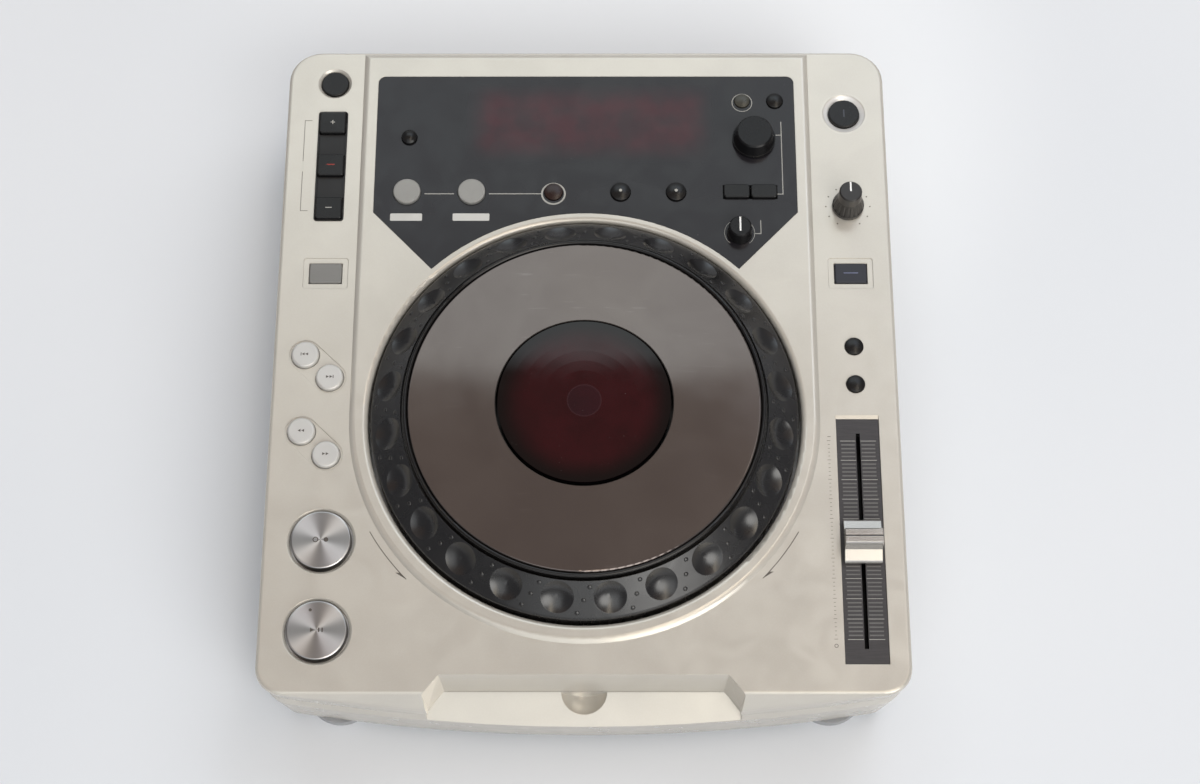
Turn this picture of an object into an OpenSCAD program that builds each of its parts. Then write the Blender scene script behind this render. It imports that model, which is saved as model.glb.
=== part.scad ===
// Tabletop disc player with a large jog wheel, a front disc slot and a long tempo fader.
// Millimetres, +Z up, +Y to the back. The origin is the middle of the footprint on the table.

/* [Case] */
// Width of the case
case_w = 320; // [314:1:336]
// Depth of the deck from its front edge to its back edge
deck_d = 358.5; // [354:0.5:372]
// Height of the deck above the table
deck_z = 83; // [82:0.5:92]
// Thickness of the deck moulding
deck_t = 3; // [2.6:0.2:3.4]
// Thickness of the side walls
wall_t = 2.8; // [2.2:0.2:3.6]
// Corner radius at the front of the case
front_r = 14; // [10:1:18]
// Corner radius at the back of the case
back_r = 17.5; // [12:0.5:20]
// Rounding along the rim of the deck
rim_r = 2; // [1:0.25:3]
// How far the belly of the front stands ahead of the deck
belly_out = 6.4; // [4:0.2:9]
// Radius of the bowed front, seen from above
bow_r = 950; // [800:50:1400]
// Draw-in of the lower case at its foot
taper_in = 5.5; // [3:0.5:7]
// Step between the upper and the lower case
split_step = 0.6; // [0.2:0.1:1]
// Thickness of the steel base plate
base_t = 1.5; // [1:0.25:2]

/* [Feet and screws] */
// Height of the rubber feet
foot_h = 7; // [5:0.5:9]
// Radius of a rubber foot
foot_r = 18; // [14:0.5:19]
// Inset of the feet from the sides of the case
foot_in_x = 34; // [30:1:44]
// Inset of the feet from the front and the back of the deck
foot_in_y = 24; // [22:1:36]
// Radius of a screw's shank
screw_r = 1.5; // [1.2:0.1:2]
// Radius of a screw's head
screw_head_r = 2.9; // [2.5:0.1:3.5]
// Length of a screw's shank
screw_len = 8; // [6:0.5:12]

/* [Disc slot] */
// Diameter of the disc
disc_d = 120; // [116:1:122]
// Height of the slot's lower lip above the table
slot_z = 54; // [53:0.5:55]
// Height of the slot
slot_h = 4.6; // [4.4:0.1:5]
// Width of the slot
slot_w = 134; // [128:1:138]
// Width of the recess at the slot
recess_w = 140; // [139:1:150]
// Depth of the recess behind the deck's front edge
recess_in = 9.3; // [8:0.1:11]
// Drop of the ramp from the slot to its front edge
ramp_drop = 8; // [5:0.5:10]
// Radius of the finger scoop in the ramp
scoop_r = 11.4; // [9:0.1:12]
// Depth of the finger scoop
scoop_depth = 7; // [5:0.5:8]

/* [Jog wheel] */
// Distance of the wheel's centre from the deck's front edge
jog_from_front = 145; // [144:0.5:150]
// Radius of the well in the deck
well_r = 110; // [107:0.5:111]
// Width of the ring between the well and the display panel
lip_w = 5.1; // [4:0.1:6]
// Rounding of the well's upper edge
well_round = 2.8; // [1:0.1:3.4]
// Width of the raised ring round the well
plateau_w = 9.5; // [8:0.5:11]
// Width of the raised ring's rounded outer edge
plateau_edge = 3.2; // [2:0.1:3.4]
// Height of the raised middle of the deck
plateau_h = 1.4; // [0.8:0.1:2]
// Gap between the well and the wheel
ring_gap = 1.6; // [1.2:0.1:3]
// Width of the dimpled ring, seen from above
ring_w = 16.2; // [14:0.1:17]
// Height of the ring's outer edge above the deck
ring_low = 2.6; // [2:0.2:5]
// Height of the ring's inner edge above the deck
ring_high = 15.6; // [14:0.2:16.4]
// Number of finger dimples
dimple_n = 24; // [18:1:26]
// Radius of a finger dimple
dimple_r = 8.6; // [7:0.1:8.8]
// Depth of a finger dimple
dimple_depth = 2.5; // [1.5:0.1:2.8]
// Width of the groove between ring and bead
groove_w = 1; // [0.6:0.1:1.5]
// Width of the bead round the plate
bead_w = 2.1; // [1.5:0.1:2.6]
// Height of the plate's edge above the deck
plate_rise = 18; // [17.4:0.2:19]
// Rise of the plate from its edge to its middle
plate_crown = 2.2; // [1:0.1:2.6]
// Radius of the fixed display window
window_r = 43.35; // [38:0.05:46]
// Height of the window's top above the deck
window_rise = 22; // [21.8:0.2:24]

/* [Jog bearing] */
// Radius of the fixed post that carries the wheel
post_r = 16; // [12:0.5:18]
// Running clearance between post and wheel
bearing_gap = 0.06; // [0.03:0.01:0.1]
// Teeth of the wheel's gear
jog_teeth = 90; // [76:1:90]
// Teeth of the encoder gear
encoder_teeth = 15; // [15:1:18]
// Module of the encoder gearing
gear_m = 1.3; // [1.1:0.05:1.4]

/* [Control columns] */
// Inset of the left column from the side of the case
left_in = 24.8; // [24:0.2:27]
// Inset of the large round buttons from the side of the case
big_in = 29.4; // [28:0.2:30]
// Inset of the right column from the side of the case
right_in = 21.8; // [20:0.2:24]
// Travel of a push button
travel = 1; // [0.6:0.1:1.2]
// Running clearance round a push button
key_gap = 0.3; // [0.2:0.05:0.4]
// Distance of the eject button from the front edge
eject_at = 338.9; // [334:0.5:340]
// Radius of the eject button
eject_r = 7.25; // [6:0.25:8]
// Distance of the key strip's middle from the front edge
strip_at = 288.8; // [286:0.2:292]
// Width of the key strip
strip_w = 15.4; // [14:0.2:17]
// Length of the key strip
strip_l = 65.2; // [62:0.2:68]
// Length of one key in the strip
strip_key_l = 12.3; // [11:0.1:14]
// Distance of the flat keys, left and right, from the front edge
flat_at = 225.6; // [222:0.2:230]
// Width of a flat key
flat_w = 16.8; // [14:0.2:18]
// Length of a flat key
flat_l = 11.2; // [9:0.2:13]
// Distance of the track button pair's middle from the front edge
track_at = 172.7; // [170:0.2:176]
// Distance of the search button pair's middle from the front edge
search_at = 130.5; // [127:0.2:134]
// Half spacing of a button pair, across the case
pair_dx = 6.5; // [6.2:0.1:7]
// Half spacing of a button pair, along the case
pair_dy = 6.3; // [6:0.1:7.5]
// Radius of a paired button
pair_r = 7.1; // [6:0.1:7.2]
// Distance of the cue button from the front edge
cue_at = 78.4; // [75:0.2:82]
// Distance of the play button from the front edge
play_at = 31.8; // [30:0.2:36]
// Radius of the cue and play buttons
big_r = 15.1; // [13:0.1:16]
// Gap round the cue and play buttons
big_gap = 0.9; // [0.5:0.1:1.2]
// Distance of the mode button from the front edge
mode_at = 320.4; // [317:0.2:324]
// Radius of the mode button
mode_r = 8.2; // [7:0.2:9]
// Radius of the dish round the mode button
mode_dish_r = 11.5; // [10:0.25:12.5]
// Distance of the tall knob from the front edge
brake_at = 264.6; // [260:0.2:270]
// Distance of the reset button from the front edge
reset_at = 184; // [181:0.5:190]
// Distance of the lock button from the front edge
lock_at = 163; // [159:0.5:168]
// Radius of the reset and lock buttons
small_r = 4.6; // [4:0.1:5]

/* [Tempo fader] */
// Width of the fader plate
fader_w = 21.5; // [20:0.5:24]
// Length of the fader plate
fader_l = 128.5; // [126:0.5:132]
// Distance of the fader's middle from the front edge
fader_at = 79.6; // [78:0.2:82]
// Travel of the fader to each side
fader_travel = 50; // [40:1:52]
// Place of the knob at rest, from the middle of its travel
fader_rest = -1.9; // [-10:0.1:10]
// Depth of the fader plate below the deck
fader_sink = 0.6; // [0.2:0.1:1]
// Width of the slot in the fader plate
fader_slot_w = 2.1; // [1.9:0.1:2.6]
// Width of the fader knob
fader_knob_w = 18.6; // [16:0.2:20]
// Length of the fader knob
fader_knob_l = 22.2; // [20:0.2:24]
// Height of the fader knob
fader_knob_h = 11.3; // [10:0.1:15]

/* [Display panel] */
// Width of the display panel
panel_w = 223; // [220:1:226]
// Inset of the panel from the back edge of the deck
panel_in = 16.2; // [14:0.2:18]
// Length of the panel's straight sides
panel_side = 81.8; // [79:0.2:84]
// Half distance between the panel's two lower tips
panel_tip = 80; // [78:0.5:82]
// Thickness of the panel
panel_t = 2; // [1.6:0.1:2.2]
// Corner radius of the panel
panel_r = 4; // [2:0.5:6]
// Width of the display glass
glass_w = 117; // [100:1:120]
// Length of the display glass
glass_l = 33; // [26:1:35]

/* [Loader] */
// Thickness of the loader's sheet steel
sheet_t = 1.5; // [1.2:0.1:1.8]
// Radius of the loading roller at its ends
roller_r = 4.7; // [4.4:0.1:5]
// Travel of the pickup sled
sled_travel = 35; // [32:0.5:36]
// Radius of a guide rod
rod_r = 1.5; // [1.2:0.1:1.8]
// Module of the sled's rack
rack_m = 0.8; // [0.7:0.05:0.85]
// Teeth of the feed gear
feed_teeth = 20; // [18:1:22]

/* [Rear] */
// How far the phono sockets stand out behind the deck
jack_out = 5.1; // [4:0.1:7]
// Distance of the rear panel's window from the sides of the case
rear_in = 28; // [25:1:32]
// Height of the rear panel's window
rear_h = 32; // [28:0.5:34]

/* [Hidden] */
$fn = 64;
hull_fn = 32;
eps = 0.01;

// Footprint: the box's depth runs from the belly to the phono sockets
total_d = belly_out + deck_d + jack_out;
belly_y = -total_d / 2;
deck_y0 = belly_y + belly_out;
deck_y1 = deck_y0 + deck_d;
half_w = case_w / 2;
function from_front(d) = deck_y0 + d;

// Heights
base_z = foot_h;
base_top = base_z + base_t;
split_z = slot_z + 2;
slot_top = slot_z + slot_h;
deck_under = deck_z - deck_t;
plateau_z = deck_z + plateau_h;
belly_z = slot_z - ramp_drop;
panel_z = plateau_z + 0.1;
panel_fit = 0.15;
pocket_z = panel_z - panel_t;

// Bow of the front, as a circle round a centre far behind it
bow_cy = belly_y + bow_r;
function bow_y(x) = bow_cy - sqrt(bow_r * bow_r - x * x);
function corner_cy(cx, r) = bow_cy - sqrt(pow(bow_r - r, 2) - cx * cx);

// Recess and ramp of the slot
recess_y = deck_y0 + recess_in;
recess_out = 6;
flare = 8;
slot_lip = 8;
draft_low = -1;
draft_high = 0.6;
ramp_tilt = atan2(ramp_drop, recess_y - belly_y);

// Jog wheel
jog_y = from_front(jog_from_front);
plateau_r = well_r + plateau_w;
skirt_t = 2.4;
ring_r = well_r - ring_gap;
ring_in_r = ring_r - ring_w;
bead_r = ring_in_r - groove_w;
plate_gap = 0.5;
plate_r = bead_r - bead_w - plate_gap;
plate_in_r = window_r + 1.2;
plate_t = 2.6;
plate_edge_z = deck_z + plate_rise;
plate_mid_z = plate_edge_z + plate_crown;
window_z = deck_z + window_rise;
window_t = 2.4;
window_sag = 0.5;
display_r = window_r - 0.8;
hub_t = 3;
hub_z = deck_z + 4.5;
hub_top = hub_z + hub_t;
display_z = hub_top + 2.5;
support_t = 2.5;
support_top = slot_top + 5.4;
support_z = support_top - support_t;
collar_top = support_top + 1.9;
skirt_z = support_top + 6;
gear_z = support_top + 5;
gear_t = 5;

// Gearing
pressure = 20;
backlash = 0.16;
function inv(a) = tan(a) * 180 / PI - a;
function half_tooth(r, n, m) =
  90 / n - backlash / (2 * m * n) * 180 / PI + inv(pressure)
  - inv(acos(min(1, m * n / 2 * cos(pressure) / r)));
function tooth_radii(n, m) = let (p = m * n / 2) [p - 1.2 * m, max(p * cos(pressure), p - m), p, p + 0.9 * m];
function polar(r, a) = [r * cos(a), r * sin(a)];
jog_gear_r = jog_teeth * gear_m / 2;
encoder_gear_r = encoder_teeth * gear_m / 2;
encoder_x = -(jog_gear_r + encoder_gear_r);
encoder_pin_r = 2;

// Push buttons and their boards
board_t = 1.6;
board_top = deck_under - 10.4;
switch_w = 6;
switch_h = 3.5;
plunger_r = 1.7;
plunger_h = 0.9;
flange_out = 0.9;
flange_t = 1.6;
stem_r = 1.7;
stem_z = board_top + switch_h + plunger_h + travel + 0.2;
left_x = -half_w + left_in;
right_x = half_w - right_in;
big_x = -half_w + big_in;
eject_p = [left_x, from_front(eject_at)];
mode_p = [right_x, from_front(mode_at)];
memo_p = [left_x, from_front(flat_at)];
range_p = [right_x, from_front(flat_at)];
cue_p = [big_x, from_front(cue_at)];
play_p = [big_x, from_front(play_at)];
// The button pairs keep clear of the well's wall
pair_clear = well_r + skirt_t + pair_r + key_gap + flange_out + 0.2;
pair_ahead = min(abs(track_at - pair_dy - jog_from_front), abs(search_at - pair_dy - jog_from_front));
pair_x = min(left_x - 1.7, -sqrt(pair_clear * pair_clear - pair_ahead * pair_ahead) - pair_dx);
track_back_p = [pair_x - pair_dx, from_front(track_at) + pair_dy];
track_next_p = [pair_x + pair_dx, from_front(track_at) - pair_dy];
search_back_p = [pair_x - pair_dx, from_front(search_at) + pair_dy];
search_next_p = [pair_x + pair_dx, from_front(search_at) - pair_dy];
reset_p = [right_x, from_front(reset_at)];
lock_p = [right_x, from_front(lock_at)];
strip_y = from_front(strip_at);
strip_end = (strip_l - strip_key_l) / 2 - 0.9;
strip_key_w = strip_w - 1.6;
strip_t = 1.6;
flat_frame = 3.2;
flat_dip = 0.4;
dish_out = 1.75;
dish_depth = 1.4;
big_bevel = 1.2;
big_bevel_h = 0.7;
pad_r = 8.4;
pad_dip = 0.35;

// Controls in the display panel, from its edges and its middle
panel_y1 = deck_y1 - panel_in;
panel_y0 = panel_y1 - panel_side;
panel_x = panel_w / 2;
tip_y = jog_y + sqrt(pow(well_r + lip_w, 2) - panel_tip * panel_tip);
row_gap = 12.2;
row_in = 11.8;
row_y = max(panel_y0 + row_in, jog_y + well_r + lip_w + row_gap);
top_row_y = panel_y1 - 15.2;
dome_p = [-panel_x + 17.6, panel_y0 + 44.4];
loop_in_p = [-panel_x + 17.3, row_y];
loop_out_p = [-panel_x + 51.4, row_y];
loop_exit_p = [-16.9, row_y];
text_p = [18.5, row_y];
time_p = [47.8, row_y];
memory_p = [panel_x - 27.8, top_row_y];
delete_p = [panel_x - 10.3, top_row_y];
call_p = [panel_x - 24.6, row_y + 0.1];
browse_p = [panel_x - 22, panel_y0 + 43.2];
trim_p = [panel_x - 30.7, tip_y + 20.7];
brake_p = [right_x, from_front(brake_at)];
dome_r = 4.05;
loop_r = 7.2;
exit_r = 4.8;
text_r = 5.2;
memory_r = 4;
delete_r = 4.3;
call_w = 28.2;
call_l = 7.6;
call_split = 0.5;
glass_x = 2;
glass_y = panel_y1 - 28;
knob_lift = 0.4;
shaft_r = 3;
shaft_fit = 0.05;
pot_w = 12;
pot_h = 6;
bush_r = 4.5;
bush_top = deck_under + 1.2;

// Fader
fader_y = from_front(fader_at);
fader_x = right_x;
fader_t = 1.4;
fader_top = deck_z - fader_sink;
fader_bevel = 1.9;
tongue_t = fader_slot_w - 0.6;
tongue_l = 5;
fader_slot_l = 2 * fader_travel + tongue_l + 8;

// Loader
bay_margin = 5;
spindle_y = recess_y + 6 + disc_d / 2;
rail_x = disc_d / 2 + bay_margin;
loader_y0 = recess_y + wall_t + 1;
loader_y1 = spindle_y + disc_d / 2 + 12;
loader_z = slot_z - 11;
loader_top = slot_top + 0.8;
roller_y = loader_y0 + 7;
roller_z = slot_z - roller_r;
roller_waist = 0.5;
roller_l = disc_d - 4;
roller_room = 14;
axle_r = 1.5;
axle_fit = 0.05;
hub_r = 14;
motor_r = 13.9;
ear_w = 5.2;
pickup_w = 20;
pickup_l = 12;
sled_w = 56;
sled_l = 16;
sled_y = spindle_y + 24.5;
rod_z = loader_z - 5;
rod_x = 24;
rod_y0 = sled_y - sled_l / 2 - 2;
sled_z = rod_z - 4;
rack_pitch_x = sled_w / 2 + 2.4;
feed_r = feed_teeth * rack_m / 2;
feed_x = rack_pitch_x + feed_r;
feed_y = spindle_y + 31;
rack_y0 = feed_y - sled_travel - 4;
rack_y1 = feed_y + 3.5;
rack_t = 3;

// Rear
rear_in_y = deck_y1 - split_step - wall_t;
rear_t = 1.5;
rear_z0 = base_top + 6;
jack_z = rear_z0 + 11;
jack_r = 4.2;
jack_x = [-52, -34, -12];
mini_x = 10;
mini_r = 1.8;
rear_w = case_w - 2 * rear_in;
inlet_x = rear_w / 2 - 28;
inlet_z = rear_z0 + rear_h / 2;
inlet_w = 18;
inlet_h = 8.4;
inlet_flange = 3;
rocker_x = inlet_x - 34;
rocker_w = 12;
rocker_h = 18;
rocker_tilt = 7;
rocker_pin_r = 1.2;
rocker_pin_in = 4.5;
rocker_box = 14;
rear_lap = 4;
main_board_z = jack_z - 6 - board_t;

// Boards on the base plate, kept clear of the rear wall and of each other
supply_w = 84;
supply_l = 82;
supply_p = [half_w - 20 - supply_w / 2, rear_in_y - 39.1 - supply_l / 2];
main_w = 130;
main_l = 106;
main_p = [supply_p.x - supply_w / 2 - 9 - main_w / 2, rear_in_y - 10.1 - main_l / 2];
main_post = [main_w / 2 - 7, main_l / 2 - 11];
supply_post = [supply_w / 2 - 6, supply_l / 2 - 6];
board_posts = [for (b = [[main_p, main_post], [supply_p, supply_post]], sx = [-1, 1], sy = [-1, 1])
       [b[0].x + sx * b[1].x, b[0].y + sy * b[1].y]];

// Boards under the keys, and the bosses of the deck that they are screwed to
left_board_x = [-half_w + wall_t + 6.5, -well_r - skirt_t - 5.3];
left_board_in = 17;
right_board_w = 26;
right_board_y = [lock_p.y - 5, mode_p.y + 17.6];
boss_spots = [[left_x + 9, strip_y + strip_l / 2 + 2.6], [left_x - 11, memo_p.y + 18.4],
       [left_x + 10, track_back_p.y + 17], [left_x - 11, cue_p.y + 21.6],
       [right_x - 9, brake_p.y + 25.4], [right_x + 9, reset_p.y + 20],
       [-panel_x + 8, panel_y1 - 12], [68, panel_y1 - 12], [-panel_x + 34, panel_y0 + 26],
       [30, row_y + 7.5]];

// Screws through the base plate
boss_in = 11.5;
screw_y = [from_front(40), from_front(deck_d / 2), from_front(deck_d - 40)];
foot_x = half_w - foot_in_x;
foot_y = [deck_y0 + foot_in_y, deck_y1 - foot_in_y];
boss_x = half_w - boss_in;
screw_fit = 0.1;
foot_recess = 5.2;

silver = [0.80, 0.77, 0.72];
dark = [0.16, 0.16, 0.17];
steel = [0.62, 0.63, 0.65];
green = [0.10, 0.32, 0.18];

// ---- Shapes that repeat ----

// Plate with rounded corners, in the plane
module round_rect(w, l, r) {
  square([w - 2 * r, l], center = true);
  square([w, l - 2 * r], center = true);
  for (sx = [-1, 1], sy = [-1, 1])
    translate([sx * (w / 2 - r), sy * (l / 2 - r)])
      circle(r);
}

// Key with rounded corners and a bevelled top edge
module key_block(w, l, z0, z1, r, bevel) {
  hull()
    for (sx = [-1, 1], sy = [-1, 1])
      translate([sx * (w / 2 - r), sy * (l / 2 - r), z0]) {
        cylinder(r = r, h = z1 - z0 - bevel, $fn = 24);
        cylinder(r = r - bevel, h = z1 - z0, $fn = 24);
      }
}

// Round puck with a rounded top edge
module puck(r, z0, z1, edge) {
  rotate_extrude() {
    translate([0, z0])
      square([r, z1 - z0 - edge]);
    translate([0, z0])
      square([r - edge, z1 - z0]);
    translate([r - edge, z1 - edge])
      circle(edge);
  }
}

// Round cap with a domed top
module dome(r, z0, z1, rise) {
  big = (r * r + rise * rise) / (2 * rise);
  rotate_extrude()
    intersection() {
      translate([0, z1 - big])
        circle(big, $fn = 128);
      translate([0, z0])
        square([r, z1 - z0]);
    }
}

// Retaining flange and stem that a round button has under the deck
module button_foot(r, gap) {
  translate([0, 0, deck_under - flange_t - 0.1])
    cylinder(r = r + gap + flange_out, h = flange_t);
  translate([0, 0, stem_z])
    cylinder(r = stem_r, h = deck_under - stem_z);
}

// Same under a rectangular key
module key_foot(w, l) {
  translate([-w / 2 - flange_out, -l / 2 - flange_out, deck_under - flange_t - 0.1])
    cube([w + 2 * flange_out, l + 2 * flange_out, flange_t]);
  translate([0, 0, stem_z])
    cylinder(r = stem_r, h = deck_under - stem_z);
}

module flat_button(p, r, z1, edge, gap = key_gap) {
  translate([p.x, p.y, 0]) {
    puck(r, deck_under - 0.2, z1, edge);
    button_foot(r, gap);
  }
}

module dome_cap(p, r, z1, rise) {
  translate([p.x, p.y, 0]) {
    dome(r, deck_under - 0.2, z1, rise);
    button_foot(r, key_gap);
  }
}

module flat_key(p, w, l, z1) {
  translate([p.x, p.y, 0]) {
    key_block(w, l, deck_under - 0.2, z1, 1.2, 0.5);
    key_foot(w, l);
  }
}

// Spur gear outline
module gear_2d(n, m) {
  radii = tooth_radii(n, m);
  polygon([for (i = [0 : n - 1], k = [0 : 7])
    let (r = radii[k < 4 ? k : 7 - k], h = half_tooth(r, n, m))
    polar(r, i * 360 / n + (k < 4 ? -h : h))]);
}

// Posts whose hull is the bowed case, drawn in by a margin on three sides
module bowed_posts(z, h, in_side, in_back) {
  rf = front_r - min(in_side, front_r - 1);
  rb = back_r - min(in_side, back_r - 1);
  cx = half_w - in_side - rf;
  cy = corner_cy(half_w - front_r, front_r);
  for (s = [-1, 1]) {
    translate([s * cx, cy, z])
      cylinder(r = rf, h = h, $fn = hull_fn);
    translate([s * (half_w - in_side - rb), deck_y1 - in_back - rb, z])
      cylinder(r = rb, h = h, $fn = hull_fn);
  }
  translate([0, 0, z])
    linear_extrude(h)
      polygon(concat([for (i = [-6 : 6]) let (x = i * cx / 6) [x, bow_y(x) + in_side]],
              [[0, 0]]));
}

// Corner rounds of the deck's rim
module deck_rim(z, r) {
  for (s = [-1, 1]) {
    translate([s * (half_w - front_r), deck_y0 + front_r, z])
      rotate_extrude($fn = hull_fn)
        translate([front_r - r, 0])
          circle(r, $fn = 16);
    translate([s * (half_w - back_r), deck_y1 - back_r, z])
      rotate_extrude($fn = hull_fn)
        translate([back_r - r, 0])
          circle(r, $fn = 16);
  }
}

// Plan of the slot's recess, flared up to the deck's front edge, grown by a wall
module recess_plan(grow) {
  w0 = recess_w / 2 + grow;
  y0 = recess_y + grow;
  y1 = belly_y - recess_out;
  polygon([[-w0, y0], [w0, y0], [w0 + flare, deck_y0], [w0 + flare, y1], [-w0 - flare, y1],
       [-w0 - flare, deck_y0]]);
}

module recess_block(z0, z1, grow) {
  translate([0, 0, z0])
    linear_extrude(z1 - z0)
      recess_plan(grow);
}

// Recess as the upper case has it: upright at the slot, with draft above it
module recess_draft() {
  recess_block(0, slot_top, 0);
  hull() {
    recess_block(slot_top - eps, slot_top, draft_low);
    recess_block(deck_z, deck_z + 1, draft_high);
  }
}

// Everything above the ramp, as a wedge across the case
module above_ramp() {
  y1 = belly_y - recess_out;
  translate([-half_w, 0, 0])
    rotate([90, 0, 90])
      linear_extrude(case_w)
        polygon([[recess_y + slot_lip, slot_z], [recess_y, slot_z],
             [y1, belly_z - recess_out * tan(ramp_tilt)], [y1, deck_z],
             [recess_y + slot_lip, deck_z]]);
}

// Finger scoop: part of a ball that stands square on the ramp, grown by a wall
module scoop(grow) {
  ball = (scoop_r * scoop_r + scoop_depth * scoop_depth) / (2 * scoop_depth);
  reach = 4 * scoop_r;
  intersection() {
    translate([0, recess_y, slot_z])
      rotate([ramp_tilt, 0, 0])
        translate([0, 0, ball - scoop_depth])
          sphere(ball + grow);
    translate([-reach / 2, recess_y + grow - reach, slot_z - reach])
      cube([reach, reach, reach + slot_h]);
  }
}

// ---- Case ----

module top_cover() {
  color(silver)
    difference() {
      union() {
        difference() {
          hull() {
            deck_rim(deck_z - rim_r, rim_r);
            bowed_posts(split_z, 1, 0, 0);
          }
          difference() {
            cover_cavity();
            recess_block(0, deck_z, wall_t);
            translate([0, jog_y, support_top])
              cylinder(r = well_r + skirt_t, h = deck_z);
            board_bosses();
          }
        }
        plateau();
      }
      recess_draft();
      translate([-slot_w / 2, recess_y - 1, 0])
        cube([slot_w, slot_lip + 2, slot_top]);
      well_cut();
      panel_pocket();
      column_openings();
      panel_openings();
    }
}

module cover_cavity() {
  hull() {
    bowed_posts(split_z - 1, 1, wall_t, wall_t);
    translate([0, 0, deck_under - 1])
      linear_extrude(1)
        deck_plan(wall_t);
  }
}

module deck_plan(inset) {
  for (s = [-1, 1]) {
    translate([s * (half_w - front_r), deck_y0 + front_r])
      circle(front_r - inset, $fn = hull_fn);
    translate([s * (half_w - back_r), deck_y1 - back_r])
      circle(back_r - inset, $fn = hull_fn);
  }
}

// Half section of the raised middle, with its outer edge rounded
module plateau_half(r) {
  big = (plateau_edge * plateau_edge + plateau_h * plateau_h) / (2 * plateau_h);
  translate([0, -eps])
    square([r - plateau_edge, plateau_h + eps]);
  intersection() {
    translate([r - plateau_edge - eps, -eps])
      square([plateau_edge + eps, plateau_h + eps]);
    translate([r - plateau_edge, plateau_h - big])
      circle(big, $fn = 96);
  }
}

// Raised middle of the deck: a ring round the well that runs back as a broad band
module plateau() {
  band_l = deck_y1 - rim_r - jog_y;
  translate([0, jog_y, deck_z]) {
    rotate_extrude($fn = 128)
      plateau_half(plateau_r);
    intersection() {
      rotate([-90, 0, 0])
        linear_extrude(band_l + 1)
          for (s = [0, 1])
            mirror([s, 0])
              mirror([0, 1])
                plateau_half(plateau_r);
      rotate([90, 0, 90])
        linear_extrude(2 * plateau_r, center = true)
          plateau_half(band_l);
    }
  }
}

// Well for the wheel, with its upper edge rounded
module well_cut() {
  translate([0, jog_y, 0]) {
    cylinder(r = well_r, h = deck_z + 9);
    rotate_extrude($fn = 128)
      difference() {
        translate([well_r - 1, plateau_z - well_round])
          square([well_round + 1, well_round + 1]);
        translate([well_r + well_round, plateau_z - well_round])
          circle(well_round);
      }
  }
}

module panel_outline(grow) {
  r = panel_r;
  x = panel_x + grow;
  y1 = panel_y1 + grow;
  arc = well_r + lip_w - grow;
  lap = 2;
  difference() {
    union() {
      translate([-x + r, panel_y0])
        square([2 * (x - r), y1 - panel_y0]);
      translate([-x, panel_y0])
        square([2 * x, y1 - r - panel_y0]);
      for (s = [-1, 1])
        translate([s * (x - r), y1 - r])
          circle(r);
      polygon([[-x, panel_y0 + lap], [x, panel_y0 + lap], [x, panel_y0],
           [panel_tip + grow, tip_y - grow], [-panel_tip - grow, tip_y - grow],
           [-x, panel_y0]]);
    }
    translate([0, jog_y])
      circle(arc, $fn = 128);
  }
}

module panel_pocket() {
  translate([0, 0, pocket_z])
    linear_extrude(panel_t + 3)
      panel_outline(panel_fit);
}

// Cut down through the deck for a round button
module round_cut(p, r) {
  translate([p.x, p.y, deck_under - 1])
    cylinder(r = r, h = deck_t + plateau_h + 4);
}

module key_cut(p, w, l) {
  translate([p.x - w / 2, p.y - l / 2, deck_under - 1])
    cube([w, l, deck_t + plateau_h + 4]);
}

module dish(p, r_top, r_low, depth) {
  translate([p.x, p.y, deck_z - depth])
    cylinder(r1 = r_low, r2 = r_top, h = depth + eps);
}

module column_openings() {
  round_cut(eject_p, eject_r + key_gap);
  dish(eject_p, eject_r + dish_out, eject_r + key_gap, dish_depth);
  round_cut(mode_p, mode_r + key_gap);
  dish(mode_p, mode_dish_r, mode_r + key_gap, dish_depth);
  for (p = [track_back_p, track_next_p, search_back_p, search_next_p])
    round_cut(p, pair_r + key_gap);
  pair_pad(track_back_p, track_next_p);
  pair_pad(search_back_p, search_next_p);
  for (p = [cue_p, play_p]) {
    round_cut(p, big_r + big_gap);
    dish(p, big_r + big_gap + big_bevel, big_r + big_gap, big_bevel_h);
  }
  for (p = [reset_p, lock_p])
    round_cut(p, small_r + key_gap);
  for (p = [memo_p, range_p]) {
    key_cut(p, flat_w + 2 * key_gap, flat_l + 2 * key_gap);
    translate([p.x, p.y, deck_z - flat_dip])
      linear_extrude(1)
        round_rect(flat_w + 2 * flat_frame, flat_l + 2 * flat_frame, 1.5);
  }
  translate([left_x, strip_y, deck_z - strip_t])
    linear_extrude(strip_t + 1)
      round_rect(strip_w + 2 * panel_fit, strip_l + 2 * panel_fit, 1.8);
  for (i = [-1 : 1])
    key_cut([left_x, strip_y + i * strip_end], strip_key_w + 3 * key_gap, strip_key_l + 3 * key_gap);
  round_cut(brake_p, bush_r + key_gap);
  translate([fader_x, fader_y, fader_top - fader_t])
    linear_extrude(fader_t + 1)
      square([fader_w + 2 * panel_fit, fader_l + 2 * panel_fit], center = true);
  fader_back_bevel();
  key_cut([fader_x, fader_y], 6, fader_slot_l + 2);
}

// Slope from the deck down to the back end of the fader plate
module fader_back_bevel() {
  y0 = fader_y + fader_l / 2;
  y1 = y0 + panel_fit + fader_bevel;
  translate([fader_x, 0, 0])
    rotate([90, 0, 90])
      linear_extrude(fader_w + 2 * panel_fit, center = true)
        polygon([[y0, fader_top], [y0 + panel_fit, fader_top], [y1, deck_z], [y1, deck_z + 1],
             [y0, deck_z + 1]]);
}

// Shallow pad round a pair of buttons
module pair_pad(a, b) {
  run = b - a;
  translate([a.x, a.y, deck_z - pad_dip])
    rotate(atan2(run.y, run.x))
      linear_extrude(1) {
        circle(pad_r);
        translate([norm(run), 0])
          circle(pad_r);
        translate([0, -pad_r])
          square([norm(run), 2 * pad_r]);
      }
}

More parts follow.
